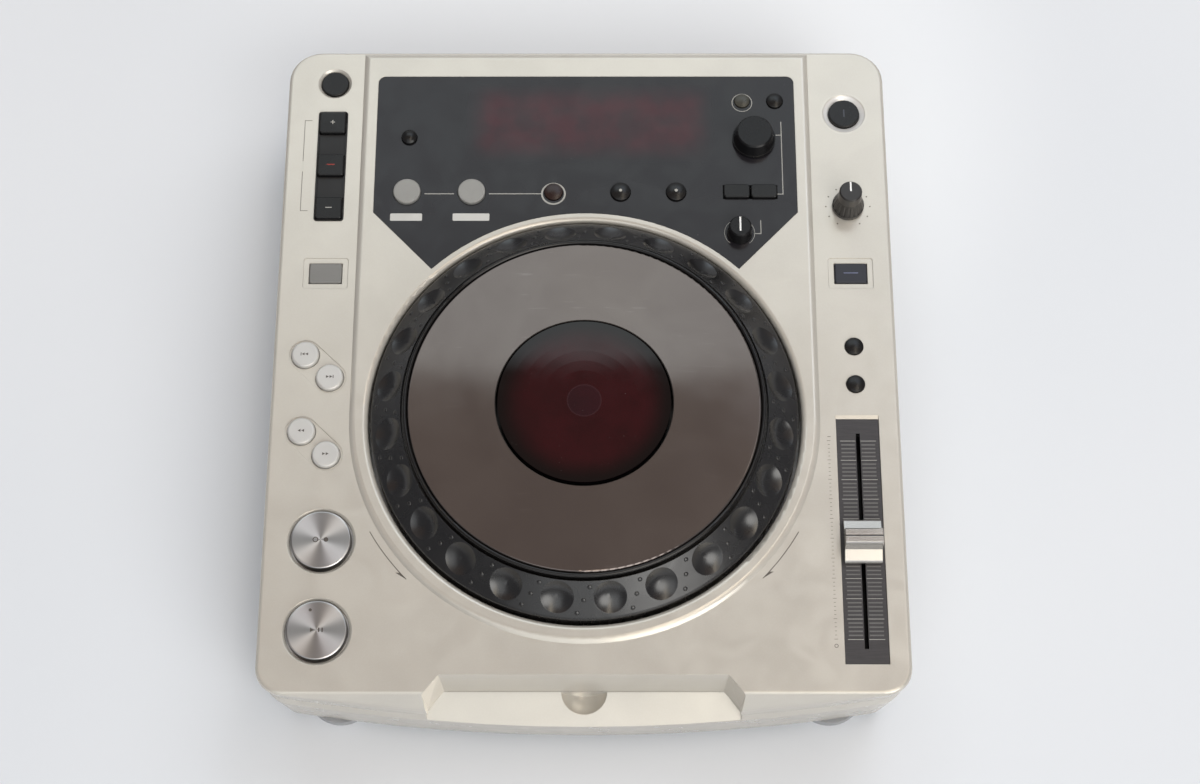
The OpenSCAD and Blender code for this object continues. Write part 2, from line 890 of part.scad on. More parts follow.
module panel_openings() {
  for (b = [[dome_p, dome_r], [loop_in_p, loop_r], [loop_out_p, loop_r], [loop_exit_p, exit_r],
       [text_p, text_r], [time_p, text_r], [memory_p, memory_r], [delete_p, delete_r]])
    round_cut(b[0], b[1] + 2 * key_gap);
  for (p = [browse_p, trim_p])
    round_cut(p, bush_r + key_gap);
  key_cut(call_p, call_w + 4 * key_gap, call_l + 4 * key_gap);
  key_cut([glass_x, glass_y], glass_w + 2, glass_l + 2);
}

// Bosses that the boards under the deck are screwed to
module board_bosses() {
  for (p = boss_spots)
    translate([p.x, p.y, board_top])
      cylinder(r = 2.6, h = deck_z - board_top);
}

module lower_case() {
  color(silver)
    difference() {
      hull() {
        bowed_posts(split_z - 1, 1, split_step, split_step);
        bowed_posts(belly_z, 1, 0, split_step);
        bowed_posts(base_top, 1, taper_in, split_step);
      }
      difference() {
        hull() {
          bowed_posts(split_z, 1, split_step + wall_t, split_step + wall_t);
          bowed_posts(belly_z, 1, wall_t, split_step + wall_t);
          bowed_posts(base_top - 1, 1, taper_in + wall_t, split_step + wall_t);
        }
        difference() {
          recess_block(0, split_z + 1, wall_t);
          ramp_underside();
        }
        scoop(wall_t);
        for (s = [-1, 1], y = screw_y)
          translate([s * boss_x, y, 0])
            cylinder(r = 4.5, h = base_top + 14);
      }
      intersection() {
        recess_block(0, deck_z, 0);
        above_ramp();
      }
      translate([-slot_w / 2, recess_y - 1, slot_z])
        cube([slot_w, wall_t + 2 * slot_lip, slot_h]);
      scoop(0);
      translate([-rear_w / 2, rear_in_y - 1, rear_z0])
        cube([rear_w, wall_t + 2, rear_h]);
      for (s = [-1, 1], y = screw_y)
        translate([s * boss_x, y, 0])
          cylinder(r = screw_r + screw_fit, h = base_top + screw_len);
    }
}

// Hollow behind and below the ramp and its lip
module ramp_underside() {
  translate([0, 0, -wall_t])
    difference() {
      recess_block(0, deck_z, wall_t + 1);
      above_ramp();
    }
}

module base_plan(inset) {
  hull()
    plan_posts(inset);
}

module plan_posts(inset) {
  rf = front_r - min(inset, front_r - 1);
  cx = half_w - inset - rf;
  for (s = [-1, 1]) {
    translate([s * cx, corner_cy(half_w - front_r, front_r)])
      circle(rf, $fn = hull_fn);
    translate([s * (half_w - inset - rf), deck_y1 - split_step - rf])
      circle(rf, $fn = hull_fn);
  }
}

module base_plate() {
  color(steel)
    difference() {
      union() {
        translate([0, 0, base_z])
          linear_extrude(base_t)
            base_plan(taper_in + 1);
        for (x = [-foot_x, foot_x], y = foot_y)
          translate([x, y, base_z])
            cylinder(r = 4, h = base_t + 5);
        for (p = board_posts)
          translate([p.x, p.y, base_z])
            cylinder(r = 3, h = main_board_z - base_z);
      }
      for (s = [-1, 1], y = screw_y)
        translate([s * boss_x, y, base_z - 1])
          cylinder(r = screw_r + screw_fit, h = base_t + 2);
      for (x = [-foot_x, foot_x], y = foot_y)
        translate([x, y, base_z - 1])
          cylinder(r = screw_r + screw_fit, h = base_t + 9);
      for (s = [-1, 1], i = [0 : 7])
        translate([s * (rail_x + 26), from_front(deck_d / 2 - 60 + i * 9), base_z - 1])
          linear_extrude(base_t + 2)
            round_rect(28, 3, 1.4);
    }
}

module rubber_feet() {
  color(dark)
    for (x = [-foot_x, foot_x], y = foot_y)
      translate([x, y, 0])
        difference() {
          union() {
            cylinder(r1 = foot_r - 1.5, r2 = foot_r, h = 1.5);
            translate([0, 0, 1.5])
              cylinder(r = foot_r, h = foot_h - 1.5);
          }
          translate([0, 0, -1])
            cylinder(r = screw_head_r + 1.6, h = foot_recess + 1);
          cylinder(r = screw_r + screw_fit, h = foot_h + 1);
        }
}

module screw(z) {
  difference() {
    union() {
      translate([0, 0, z - 2])
        cylinder(r = screw_head_r, h = 2);
      translate([0, 0, z - eps])
        cylinder(r = screw_r, h = screw_len);
    }
    for (a = [0, 90])
      rotate(a)
        translate([-1.6, -0.35, z - 3])
          cube([3.2, 0.7, 2]);
  }
}

module case_screws() {
  color(steel) {
    for (s = [-1, 1], y = screw_y)
      translate([s * boss_x, y, 0])
        screw(base_z);
    for (x = [-foot_x, foot_x], y = foot_y)
      translate([x, y, 0])
        screw(foot_recess);
  }
}

// ---- Rear ----

module rear_panel() {
  color(dark)
    difference() {
      union() {
        translate([-rear_w / 2 - rear_lap, rear_in_y - rear_t, rear_z0 - rear_lap + 1])
          cube([rear_w + 2 * rear_lap, rear_t, rear_h + 2 * rear_lap - 2]);
        translate([rocker_x - rocker_w / 2 - 2, rear_in_y - rocker_box, inlet_z - rocker_h / 2 - 2])
          cube([rocker_w + 4, rocker_box, rocker_h + 4]);
      }
      for (x = jack_x)
        translate([x, rear_in_y + 1, jack_z])
          rotate([90, 0, 0])
            cylinder(r = jack_r + 0.2, h = rear_t + 2);
      translate([mini_x, rear_in_y + 1, jack_z])
        rotate([90, 0, 0])
          cylinder(r = 3.2, h = rear_t + 2);
      translate([inlet_x - inlet_w / 2 - 1.7, rear_in_y - rear_t - 1, inlet_z - inlet_h / 2 - 1.7])
        cube([inlet_w + 3.4, rear_t + 2, inlet_h + 3.4]);
      translate([rocker_x - rocker_w / 2 - key_gap, rear_in_y - rocker_box + 2,
            inlet_z - rocker_h / 2 - key_gap])
        cube([rocker_w + 2 * key_gap, rocker_box, rocker_h + 2 * key_gap]);
      translate([rocker_x - rocker_w, rear_in_y - rocker_pin_in, inlet_z])
        rotate([0, 90, 0])
          cylinder(r = rocker_pin_r + axle_fit, h = 2 * rocker_w);
    }
}

// Rocker on its two pins, tipped to its off side
module power_rocker() {
  reach = rocker_h / 2 - 0.6;
  color(dark)
    translate([rocker_x, rear_in_y - rocker_pin_in, inlet_z])
      rotate([rocker_tilt, 0, 0]) {
        rotate([90, 0, 90])
          linear_extrude(rocker_w, center = true)
            polygon([[-5, -3], [-2, -reach], [4.6, -reach], [5.6, 0], [4.6, reach],
                 [-2, reach], [-5, 3]]);
        rotate([0, 90, 0])
          cylinder(r = rocker_pin_r, h = rocker_w + 3, center = true);
      }
}

module rear_jacks() {
  back = deck_y1 + jack_out;
  color(dark) {
    for (x = jack_x)
      translate([x, back, jack_z])
        rotate([90, 0, 0])
          difference() {
            union() {
              cylinder(r = jack_r, h = back - rear_in_y + rear_t);
              translate([-6.5, -6, back - rear_in_y + rear_t])
                cube([13, 12, 12]);
            }
            translate([0, 0, -1])
              cylinder(r = 1.65, h = 10);
          }
    translate([mini_x, rear_in_y + 1.5, jack_z])
      rotate([90, 0, 0])
        difference() {
          union() {
            cylinder(r = 3, h = 1.5 + rear_t);
            translate([-4.5, -6, 1.5 + rear_t])
              cube([9, 11, 12]);
          }
          translate([0, 0, -1])
            cylinder(r = mini_r, h = 12);
        }
  }
}

module power_inlet() {
  depth = 13;
  color(dark)
    translate([inlet_x, rear_in_y, inlet_z])
      difference() {
        union() {
          rotate([90, 0, 0])
            translate([0, 0, -1.4])
              linear_extrude(1.4)
                round_rect(inlet_w + 2 * inlet_flange + 3, inlet_h + 2 * inlet_flange + 2, 2);
          translate([-inlet_w / 2 - 1.5, -depth - 2, -inlet_h / 2 - 1.5])
            cube([inlet_w + 3, depth + 2, inlet_h + 3]);
        }
        rotate([90, 0, 0])
          translate([0, 0, -3])
            linear_extrude(depth + 3)
              round_rect(inlet_w, inlet_h, 4.1);
      }
  color(steel)
    for (s = [-1, 1])
      translate([inlet_x + s * 4.3, rear_in_y - 2, inlet_z])
        rotate([90, 0, 0])
          cylinder(r = 1.2, h = 12);
}

// ---- Boards ----

module board(w, l, z) {
  translate([-w / 2, -l / 2, z])
    cube([w, l, board_t]);
}

module main_board() {
  top = main_board_z + board_t - eps;
  plug = [10, 5, 6];
  plug_step = 14;
  plug_in = 7;
  color(green)
    translate([main_p.x, main_p.y, 0]) {
      board(main_w, main_l, main_board_z);
      for (c = [[-30, 10, 20], [12, 14, 14], [34, -18, 12], [-34, -26, 14]])
        translate([c[0] - c[2] / 2, c[1] - c[2] / 2, top])
          cube([c[2], c[2], 2]);
      for (i = [0 : 3])
        translate([-main_post.x + 6 + i * plug_step, -main_l / 2 + plug_in, top])
          cube(plug);
    }
}

module power_supply() {
  top = main_board_z + board_t - eps;
  edge = 6;
  transformer = [32, 38, 22];
  heat_sink = [28, 3, 20];
  can_r = 5;
  can_step = 13;
  color(green)
    translate([supply_p.x, supply_p.y, 0]) {
      board(supply_w, supply_l, main_board_z);
      translate([-supply_w / 2 + edge, -supply_l / 2 + 2 * edge - 1, top])
        cube(transformer);
      for (i = [0 : 2])
        translate([edge + 2 + i * can_step, edge - supply_l / 2 + 11, top])
          cylinder(r = can_r, h = 16);
      translate([edge, 2, top])
        cube(heat_sink);
    }
}

// Push switch on a board
module tact_switch(p) {
  translate([p.x - switch_w / 2, p.y - switch_w / 2, board_top - eps])
    cube([switch_w, switch_w, switch_h + eps]);
  translate([p.x, p.y, board_top])
    cylinder(r = plunger_r, h = switch_h + plunger_h);
}

module key_boards() {
  color(green) {
    translate([left_board_x[0], deck_y0 + left_board_in, board_top - board_t])
      cube([left_board_x[1] - left_board_x[0], deck_d - 2 * left_board_in, board_t]);
    for (p = [eject_p, memo_p, track_back_p, track_next_p, search_back_p, search_next_p,
         cue_p, play_p])
      tact_switch(p);
    for (i = [-1 : 1])
      tact_switch([left_x, strip_y + i * strip_end]);
    translate([right_x - right_board_w / 2, right_board_y[0], board_top - board_t])
      cube([right_board_w, right_board_y[1] - right_board_y[0], board_t]);
    for (p = [mode_p, range_p, reset_p, lock_p])
      tact_switch(p);
    difference() {
      translate([0, (panel_y1 + tip_y) / 2 - 1, 0])
        board(panel_w - 10, panel_y1 - tip_y - 8, board_top - board_t);
      translate([0, jog_y, 0])
        cylinder(r = well_r + lip_w + 1.5, h = deck_z);
    }
    for (p = [dome_p, loop_in_p, loop_out_p, loop_exit_p, text_p, time_p, memory_p, delete_p,
         [call_p.x - call_w / 4, call_p.y], [call_p.x + call_w / 4, call_p.y]])
      tact_switch(p);
  }
}

module display_module() {
  body_h = 7;
  color([0.3, 0.05, 0.05])
    translate([glass_x, glass_y, 0]) {
      translate([-glass_w / 2 - 1, -glass_l / 2 - 1, board_top])
        cube([glass_w + 2, glass_l + 2, body_h]);
      translate([-glass_w / 2, -glass_l / 2, board_top + body_h - eps])
        cube([glass_w, glass_l, pocket_z - 0.2 - board_top - body_h]);
    }
}

module rotary_pots() {
  color(steel)
    for (p = [browse_p, trim_p, brake_p])
      translate([p.x, p.y, 0])
        difference() {
          union() {
            translate([-pot_w / 2, -pot_w / 2, board_top])
              cube([pot_w, pot_w, pot_h]);
            translate([0, 0, board_top + pot_h - eps])
              cylinder(r = bush_r, h = bush_top - board_top - pot_h);
          }
          translate([0, 0, board_top + 2])
            cylinder(r = shaft_r + shaft_fit, h = deck_z);
        }
}

// ---- Panel and plates ----

module display_panel() {
  color(dark)
    difference() {
      translate([0, 0, pocket_z])
        linear_extrude(panel_t)
          panel_outline(0);
      for (b = [[dome_p, dome_r], [loop_in_p, loop_r], [loop_out_p, loop_r],
           [loop_exit_p, exit_r], [text_p, text_r], [time_p, text_r],
           [memory_p, memory_r], [delete_p, delete_r]])
        round_cut(b[0], b[1] + key_gap);
      for (p = [browse_p, trim_p])
        round_cut(p, shaft_r + 2 * key_gap);
      key_cut(call_p, call_w + 2 * key_gap, call_l + 2 * key_gap);
    }
}

module strip_bezel() {
  color(dark)
    difference() {
      translate([left_x, strip_y, deck_z - strip_t])
        linear_extrude(strip_t + 0.5)
          round_rect(strip_w, strip_l, 1.6);
      for (i = [-1 : 1])
        key_cut([left_x, strip_y + i * strip_end], strip_key_w + 2 * key_gap, strip_key_l + 2 * key_gap);
      for (i = [-0.5, 0.5])
        translate([left_x - strip_key_w / 2, strip_y + i * strip_end - 6.4, deck_z - 0.5])
          cube([strip_key_w, 12.8, 2]);
    }
}

module fader_plate() {
  color(dark)
    difference() {
      translate([fader_x - fader_w / 2, fader_y - fader_l / 2, fader_top - fader_t])
        cube([fader_w, fader_l, fader_t]);
      key_cut([fader_x, fader_y], fader_slot_w, fader_slot_l);
    }
}

module fader_pot() {
  z0 = board_top - 2;
  z1 = deck_under - 1.5;
  color(steel)
    translate([fader_x, fader_y, 0])
      difference() {
        union() {
          translate([-5, -fader_l / 2 + 2, z0])
            cube([10, fader_l - 4, z1 - z0]);
          for (s = [-1, 1])
            translate([-5, s * (fader_l / 2 - 4.5) - 2.5, z0])
              cube([10, 5, deck_under - z0]);
        }
        translate([-1.8, -fader_slot_l / 2, z0 + 1.5])
          cube([3.6, fader_slot_l, deck_z]);
      }
}

// ---- Jog wheel ----

module jog_support() {
  color(steel)
    translate([0, jog_y, 0])
      difference() {
        union() {
          translate([0, 0, support_z])
            cylinder(r = well_r + skirt_t, h = support_t);
          translate([0, 0, support_top - eps])
            cylinder(r = post_r + 7, h = collar_top - support_top);
          translate([0, 0, support_top - eps])
            cylinder(r = post_r, h = display_z - support_top);
          translate([encoder_x, 0, support_top - eps])
            cylinder(r = encoder_pin_r, h = gear_z + gear_t + 2 - support_top);
          translate([encoder_x, 0, support_top - eps])
            cylinder(r = encoder_pin_r + 2.5, h = gear_z - 0.2 - support_top);
        }
        translate([0, 0, support_z - 1])
          cylinder(r = post_r - 4, h = display_z - support_z + 2);
        for (a = [45 : 90 : 315])
          rotate(a)
            translate([well_r - 34, 0, support_z - 1])
              cylinder(r = 18, h = support_t + 2);
      }
}

module jog_hub() {
  riser_t = 3;
  z_under = plate_edge_z - plate_t - 0.1;
  color(dark)
    translate([0, jog_y, 0]) {
      rotate_extrude($fn = 128) {
        translate([post_r + bearing_gap, collar_top + 0.1])
          square([5, hub_top - collar_top - 0.1]);
        translate([post_r + bearing_gap, hub_z])
          square([bead_r + 3 - post_r - bearing_gap, hub_t]);
        translate([bead_r - bead_w, hub_top - eps])
          square([bead_w, plate_edge_z - 0.8 - hub_top]);
        translate([bead_r - bead_w / 2, plate_edge_z - 0.9])
          circle(bead_w / 2);
        translate([plate_r - 6, hub_top - eps])
          square([riser_t, z_under - hub_top]);
        translate([plate_in_r + 3, hub_top - eps])
          square([riser_t, z_under + plate_crown - 0.3 - hub_top]);
        translate([jog_gear_r - 6, gear_z])
          square([3, hub_z - gear_z + eps]);
      }
      translate([0, 0, gear_z])
        linear_extrude(gear_t)
          difference() {
            rotate(180)
              gear_2d(jog_teeth, gear_m);
            circle(jog_gear_r - 4, $fn = 128);
          }
    }
}

module jog_ring() {
  tilt = atan2(ring_high - ring_low, ring_w);
  dimple_mid = (ring_r + ring_in_r) / 2 - 0.4;
  z_mid = deck_z + ring_low + (ring_r - dimple_mid) * tan(tilt);
  ball = (dimple_r * dimple_r + dimple_depth * dimple_depth) / (2 * dimple_depth);
  skirt = 2.6;
  color(dark)
    translate([0, jog_y, 0])
      difference() {
        rotate_extrude($fn = 128)
          ring_section(skirt);
        for (i = [0 : dimple_n - 1])
          rotate((i + 0.5) * 360 / dimple_n)
            translate([dimple_mid, 0, z_mid])
              rotate([0, tilt, 0])
                translate([0, 0, ball - dimple_depth])
                  sphere(ball, $fn = 96);
      }
}

module ring_section(skirt) {
  polygon([[ring_r, skirt_z], [ring_r, deck_z + ring_low - 1], [ring_r - 0.3, deck_z + ring_low - 0.3],
       [ring_r - 1, deck_z + ring_low + 0.4], [ring_in_r + 0.4, deck_z + ring_high],
       [ring_in_r, deck_z + ring_high - 0.3], [ring_in_r, hub_top + 4], [bead_r + 0.1, hub_top + 4],
       [bead_r + 0.1, hub_top], [bead_r + 3, hub_top], [bead_r + 5.5, hub_top],
       [ring_r - skirt, deck_z + ring_low - 4], [ring_r - skirt, skirt_z]]);
}

module jog_plate() {
  edge = 0.8;
  color([0.36, 0.31, 0.29])
    translate([0, jog_y, 0])
      rotate_extrude($fn = 128) {
        polygon([[plate_in_r, plate_mid_z - plate_t], [plate_r - edge, plate_edge_z - plate_t],
             [plate_r, plate_edge_z - plate_t], [plate_r, plate_edge_z - edge],
             [plate_r - edge, plate_edge_z], [plate_in_r + edge / 2, plate_mid_z],
             [plate_in_r, plate_mid_z - edge / 2]]);
        translate([plate_r - edge, plate_edge_z - edge])
          circle(edge);
      }
}

// Fixed display in the middle of the wheel
module jog_display() {
  color(dark)
    translate([0, jog_y, display_z])
      cylinder(r = display_r, h = window_z - window_t - display_z);
}

module jog_window() {
  color([0.22, 0.03, 0.04])
    translate([0, jog_y, 0])
      rotate_extrude($fn = 128)
        polygon(concat([[0, window_z - window_t], [window_r, window_z - window_t]],
                [for (i = [8 : -1 : 0]) let (t = i / 8)
                  [window_r * t, window_z - window_sag * t * t]]));
}

module encoder_gear() {
  color("white")
    translate([encoder_x, jog_y, gear_z])
      difference() {
        union() {
          rotate(180 / encoder_teeth)
            linear_extrude(gear_t)
              gear_2d(encoder_teeth, gear_m);
          cylinder(r = 4, h = gear_t + 1);
        }
        translate([0, 0, -1])
          cylinder(r = encoder_pin_r + axle_fit, h = gear_t + 3);
      }
}

// ---- Loader ----

module loader_chassis() {
  color(steel)
    difference() {
      union() {
        for (s = [-1, 1])
          translate([s > 0 ? rail_x : -rail_x - sheet_t, loader_y0, base_top])
            cube([sheet_t, loader_y1 - loader_y0, loader_top - base_top]);
        translate([-rail_x - sheet_t, loader_y0, loader_top])
          cube([2 * (rail_x + sheet_t), loader_y1 - loader_y0, sheet_t]);
        translate([-rail_x - eps, loader_y1 - sheet_t, base_top])
          cube([2 * (rail_x + eps), sheet_t, loader_top - base_top + eps]);
        translate([-rail_x - eps, loader_y0 + roller_room, loader_z])
          cube([2 * (rail_x + eps), loader_y1 - loader_y0 - roller_room, sheet_t]);
        for (s = [-1, 1]) {
          translate([s * rod_x - ear_w / 2, rod_y0 - sheet_t, sled_z])
            cube([ear_w, sheet_t, loader_z - sled_z + eps]);
          translate([s * rod_x, rod_y0 - sheet_t, rod_z])
            rotate([-90, 0, 0])
              cylinder(r = rod_r, h = loader_y1 - rod_y0 + sheet_t);
        }
      }
      translate([0, spindle_y, loader_z - 1])
        cylinder(r = motor_r + 0.1, h = sheet_t + 2);
      translate([-pickup_w / 2 - 3, sled_y - sled_l / 2, loader_z - 1])
        cube([pickup_w + 6, sled_travel + sled_l, sheet_t + 2]);
      translate([feed_x, feed_y, loader_z - 1])
        cylinder(r = 2.2, h = sheet_t + 2);
      translate([-rail_x - 9, roller_y, roller_z])
        rotate([0, 90, 0])
          cylinder(r = axle_r + axle_fit, h = 2 * rail_x + 18);
    }
}

module drive_motors() {
  color("silver") {
    translate([0, spindle_y, 0])
      difference() {
        union() {
          translate([0, 0, loader_z - 8])
            cylinder(r = motor_r, h = 8 + sheet_t);
          translate([0, 0, loader_z + sheet_t])
            cylinder(r = motor_r + 1.5, h = 1.5);
        }
        translate([0, 0, loader_z - 5])
          cylinder(r = axle_r + axle_fit, h = 12);
      }
    translate([feed_x, feed_y, loader_z + sheet_t])
      difference() {
        cylinder(r = 9, h = slot_z - loader_z - sheet_t - 0.5);
        translate([0, 0, -1])
          cylinder(r = axle_r + axle_fit, h = 7);
      }
    translate([-46, roller_y + 22, loader_z - 18])
      cylinder(r = 8, h = 18);
  }
}

module loading_roller() {
  color(dark)
    translate([0, roller_y, roller_z])
      rotate([0, 90, 0]) {
        for (s = [0, 1])
          mirror([0, 0, s])
            cylinder(r1 = roller_r - roller_waist, r2 = roller_r, h = roller_l / 2);
        cylinder(r = axle_r, h = 2 * (rail_x + sheet_t), center = true);
      }
}

module spindle_hub() {
  color("white")
    translate([0, spindle_y, 0]) {
      translate([0, 0, slot_z - 2.4])
        cylinder(r = hub_r, h = 2);
      translate([0, 0, slot_z - 5])
        cylinder(r = 6, h = 2.6 + eps);
      translate([0, 0, loader_z - 3])
        cylinder(r = axle_r, h = slot_z - loader_z - 1);
    }
}

// Rack teeth along the right side of the sled
module rack_2d() {
  pitch = PI * rack_m;
  n = floor((rack_y1 - rack_y0) / pitch);
  phase = feed_y - floor((feed_y - rack_y0) / pitch) * pitch;
  half = pitch / 4 - backlash / 2;
  flank = rack_m * tan(pressure);
  root_x = rack_pitch_x - 1.25 * rack_m;
  tip_x = rack_pitch_x + rack_m;
  polygon(concat([[sled_w / 2 - 1, rack_y0]],
          [[root_x, rack_y0]],
          [for (i = [0 : n - 1], k = [0 : 3])
            let (y = phase + (i + 0.5) * pitch,
              w = k == 0 || k == 3 ? half + 1.25 * flank : half - flank,
              s = k < 2 ? -1 : 1)
            [k == 0 || k == 3 ? root_x : tip_x, y + s * w]],
          [[root_x, rack_y1]],
          [[sled_w / 2 - 1, rack_y1]]));
}

module pickup_sled() {
  color(dark)
    difference() {
      union() {
        translate([-sled_w / 2, sled_y - sled_l / 2, sled_z])
          cube([sled_w, sled_l, loader_z - sled_z - 0.4]);
        translate([-pickup_w / 2, sled_y - pickup_l / 2, loader_z - 1])
          cube([pickup_w, pickup_l, 6]);
        translate([0, sled_y, loader_z + 5 - eps])
          cylinder(r = 3.5, h = 2.4);
        translate([0, 0, sled_z])
          linear_extrude(rack_t)
            rack_2d();
      }
      for (s = [-1, 1])
        translate([s * rod_x, sled_y - sled_l, rod_z])
          rotate([-90, 0, 0])
            cylinder(r = rod_r + 0.08, h = 2 * sled_l);
    }
}

module feed_gear() {
  color("white")
    translate([feed_x, feed_y, 0]) {
      translate([0, 0, sled_z])
        linear_extrude(rack_t)
          rotate(180)
            gear_2d(feed_teeth, rack_m);
      translate([0, 0, sled_z + rack_t - eps])
        cylinder(r = axle_r, h = loader_z + sheet_t + 4 - sled_z - rack_t);
    }
}

// ---- Knobs and fader ----

module knob_shaft(p, z) {
  translate([p.x, p.y, board_top + 2.5])
    cylinder(r = shaft_r, h = z - board_top - 2.5);
}

// Fader knob: two sloping finger rests and a narrow grip with a groove between them
module fader_knob() {
  z0 = fader_top + 0.5;
  z1 = z0 + fader_knob_h;
  l = fader_knob_l / 2;
  grip = 3.2;
  groove = 0.35;
  color("silver") {
    translate([fader_x, fader_y + fader_rest, 0])
      rotate([90, 0, 90])
        linear_extrude(fader_knob_w, center = true)
          for (s = [0, 1])
            mirror([s, 0])
              polygon([[-eps, z0], [-eps, z1 - 0.6], [groove, z1 - 0.6], [groove, z1], [grip, z1],
                   [grip + 0.8, z1 - 0.8], [grip + 1.9, z0 + 4.8], [l - 0.8, z0 + 3],
                   [l, z0 + 2.2], [l, z0]]);
    translate([fader_x - tongue_t / 2, fader_y + fader_rest - tongue_l / 2, board_top + 1])
      cube([tongue_t, tongue_l, z0 - board_top]);
  }
}

module browse_knob() {
  z0 = panel_z + knob_lift;
  h = 9;
  base_r = 11.4;
  top_r = 9.6;
  ribs = 36;
  color(dark) {
    translate([browse_p.x, browse_p.y, z0])
      difference() {
        union() {
          cylinder(r = base_r, h = 1.6);
          translate([0, 0, 1.6 - eps])
            cylinder(r1 = base_r - 0.5, r2 = top_r, h = h - 2.4);
          translate([0, 0, h - 0.8 - 2 * eps])
            cylinder(r1 = top_r, r2 = top_r - 0.8, h = 0.8);
        }
        for (i = [0 : ribs - 1])
          rotate(i * 360 / ribs)
            translate([base_r + 0.1, 0, 1.6])
              rotate([0, -atan2(base_r - 0.5 - top_r, h - 2.4), 0])
                cylinder(r = 0.55, h = h + 2);
      }
    knob_shaft(browse_p, z0 + eps);
  }
}

module trim_knob() {
  z0 = panel_z + knob_lift;
  h = 8;
  color(dark)
    difference() {
      union() {
        translate([trim_p.x, trim_p.y, z0])
          cylinder(r1 = 6.8, r2 = 5.9, h = h - 0.8);
        translate([trim_p.x, trim_p.y, z0 + h - 0.8 - eps])
          cylinder(r1 = 5.9, r2 = 5.2, h = 0.8);
        knob_shaft(trim_p, z0 + eps);
      }
      translate([trim_p.x - 0.5, trim_p.y - 3, z0 + h - 0.4])
        cube([1, 10, 1]);
    }
}

// Tall knob: a flat foot, a fluted cone and a slim neck
module brake_knob() {
  z0 = deck_z + knob_lift;
  h = 17.2;
  base_h = 2.2;
  cone_h = 8.5;
  bevel = 0.6;
  base_r = 8.3;
  cone_r = 8.1;
  neck_r = 6.2;
  top_r = 5.9;
  flutes = 18;
  flute_r = 0.8;
  flute_in = 0.4;
  color(dark)
    translate([brake_p.x, brake_p.y, z0])
      difference() {
        union() {
          cylinder(r = base_r, h = base_h);
          translate([0, 0, base_h - eps])
            cylinder(r1 = cone_r, r2 = neck_r, h = cone_h);
          translate([0, 0, base_h + cone_h - 2 * eps])
            cylinder(r1 = neck_r, r2 = top_r, h = h - base_h - cone_h - bevel);
          translate([0, 0, h - bevel - 3 * eps])
            cylinder(r1 = top_r, r2 = top_r - bevel, h = bevel);
        }
        for (i = [0 : flutes - 1])
          rotate((i + 0.5) * 360 / flutes)
            translate([cone_r + flute_r / 2, 0, base_h + flute_in])
              rotate([0, -atan2(cone_r - neck_r, cone_h), 0])
                cylinder(r = flute_r, h = cone_h - 3 * flute_in);
        translate([-0.5, 0, h - 0.4])
          cube([1, 10, 1]);
      }
  color(dark)
    knob_shaft(brake_p, z0 + eps);
}

// ---- Push buttons of the columns ----

module eject_button() {
  color(dark)
    flat_button(eject_p, eject_r, deck_z - 0.2, 0.6);
}

module strip_key(i) {
  color(dark)
    flat_key([left_x, strip_y + i * strip_end], strip_key_w, strip_key_l, deck_z + 1.8);
}

module strip_key_a() {
  strip_key(1);
}

module strip_key_b() {
  strip_key(0);
}

module strip_key_c() {
  strip_key(-1);
}

module memo_button() {
  color([0.55, 0.54, 0.52])
    flat_key(memo_p, flat_w, flat_l, deck_z + 0.6);
}

module range_button() {
  color(dark)
    flat_key(range_p, flat_w, flat_l, deck_z + 0.6);
}

module pair_button(p) {
  color([0.85, 0.84, 0.82])
    flat_button(p, pair_r, deck_z + 2, 1.2);
}

module track_back_button() {
  pair_button(track_back_p);
}

module track_next_button() {
  pair_button(track_next_p);
}

module search_back_button() {
  pair_button(search_back_p);
}

module search_next_button() {
  pair_button(search_next_p);
}

module cue_button() {
  color("silver")
    flat_button(cue_p, big_r, deck_z + 2.4, 0.9, big_gap);
}

module play_button() {
  color("silver")
    flat_button(play_p, big_r, deck_z + 2.4, 0.9, big_gap);
}

module mode_button() {
  color(dark)
    flat_button(mode_p, mode_r, deck_z + 0.4, 0.6);
}

module reset_button() {
  color(dark)
    dome_cap(reset_p, small_r, deck_z + 2, 1);
}

module lock_button() {
  color(dark)
    dome_cap(lock_p, small_r, deck_z + 2, 1);
}

// ---- Push buttons of the panel ----

module dome_button() {
  color(dark)
    dome_cap(dome_p, dome_r, panel_z + 3, 1.6);
}

module loop_in_button() {
  color([0.66, 0.65, 0.63])
    flat_button(loop_in_p, loop_r, panel_z + 2, 0.8);
}

module loop_out_button() {
  color([0.66, 0.65, 0.63])
    flat_button(loop_out_p, loop_r, panel_z + 2, 0.8);
}

module loop_exit_button() {
  color(dark)
    dome_cap(loop_exit_p, exit_r, panel_z + 1.6, 0.8);
}

module text_button() {
  color(dark)
    dome_cap(text_p, text_r, panel_z + 2.4, 1.2);
}

module time_button() {
  color(dark)
    dome_cap(time_p, text_r, panel_z + 2.4, 1.2);
}

module memory_button() {
  color(dark)
    dome_cap(memory_p, memory_r, panel_z + 1.4, 0.7);
}

module delete_button() {
  color(dark)
    dome_cap(delete_p, delete_r, panel_z + 2, 1);
}

module call_button(s) {
  w = (call_w - call_split) / 2;
  color(dark)
    translate([call_p.x + s * (w + call_split) / 2, call_p.y, 0]) {
      key_block(w, call_l, deck_under - 0.2, panel_z + 2, 1.6, 0.5);
      translate([s > 0 ? -w / 2 : -w / 2 - flange_out, -call_l / 2 - flange_out - key_gap,
            deck_under - flange_t - 0.1])
        cube([w + flange_out, call_l + 2 * flange_out + 2 * key_gap, flange_t]);
      translate([0, 0, stem_z])
        cylinder(r = stem_r, h = deck_under - stem_z);
    }
}

module call_back_button() {
  call_button(-1);
}

module call_next_button() {
  call_button(1);
}

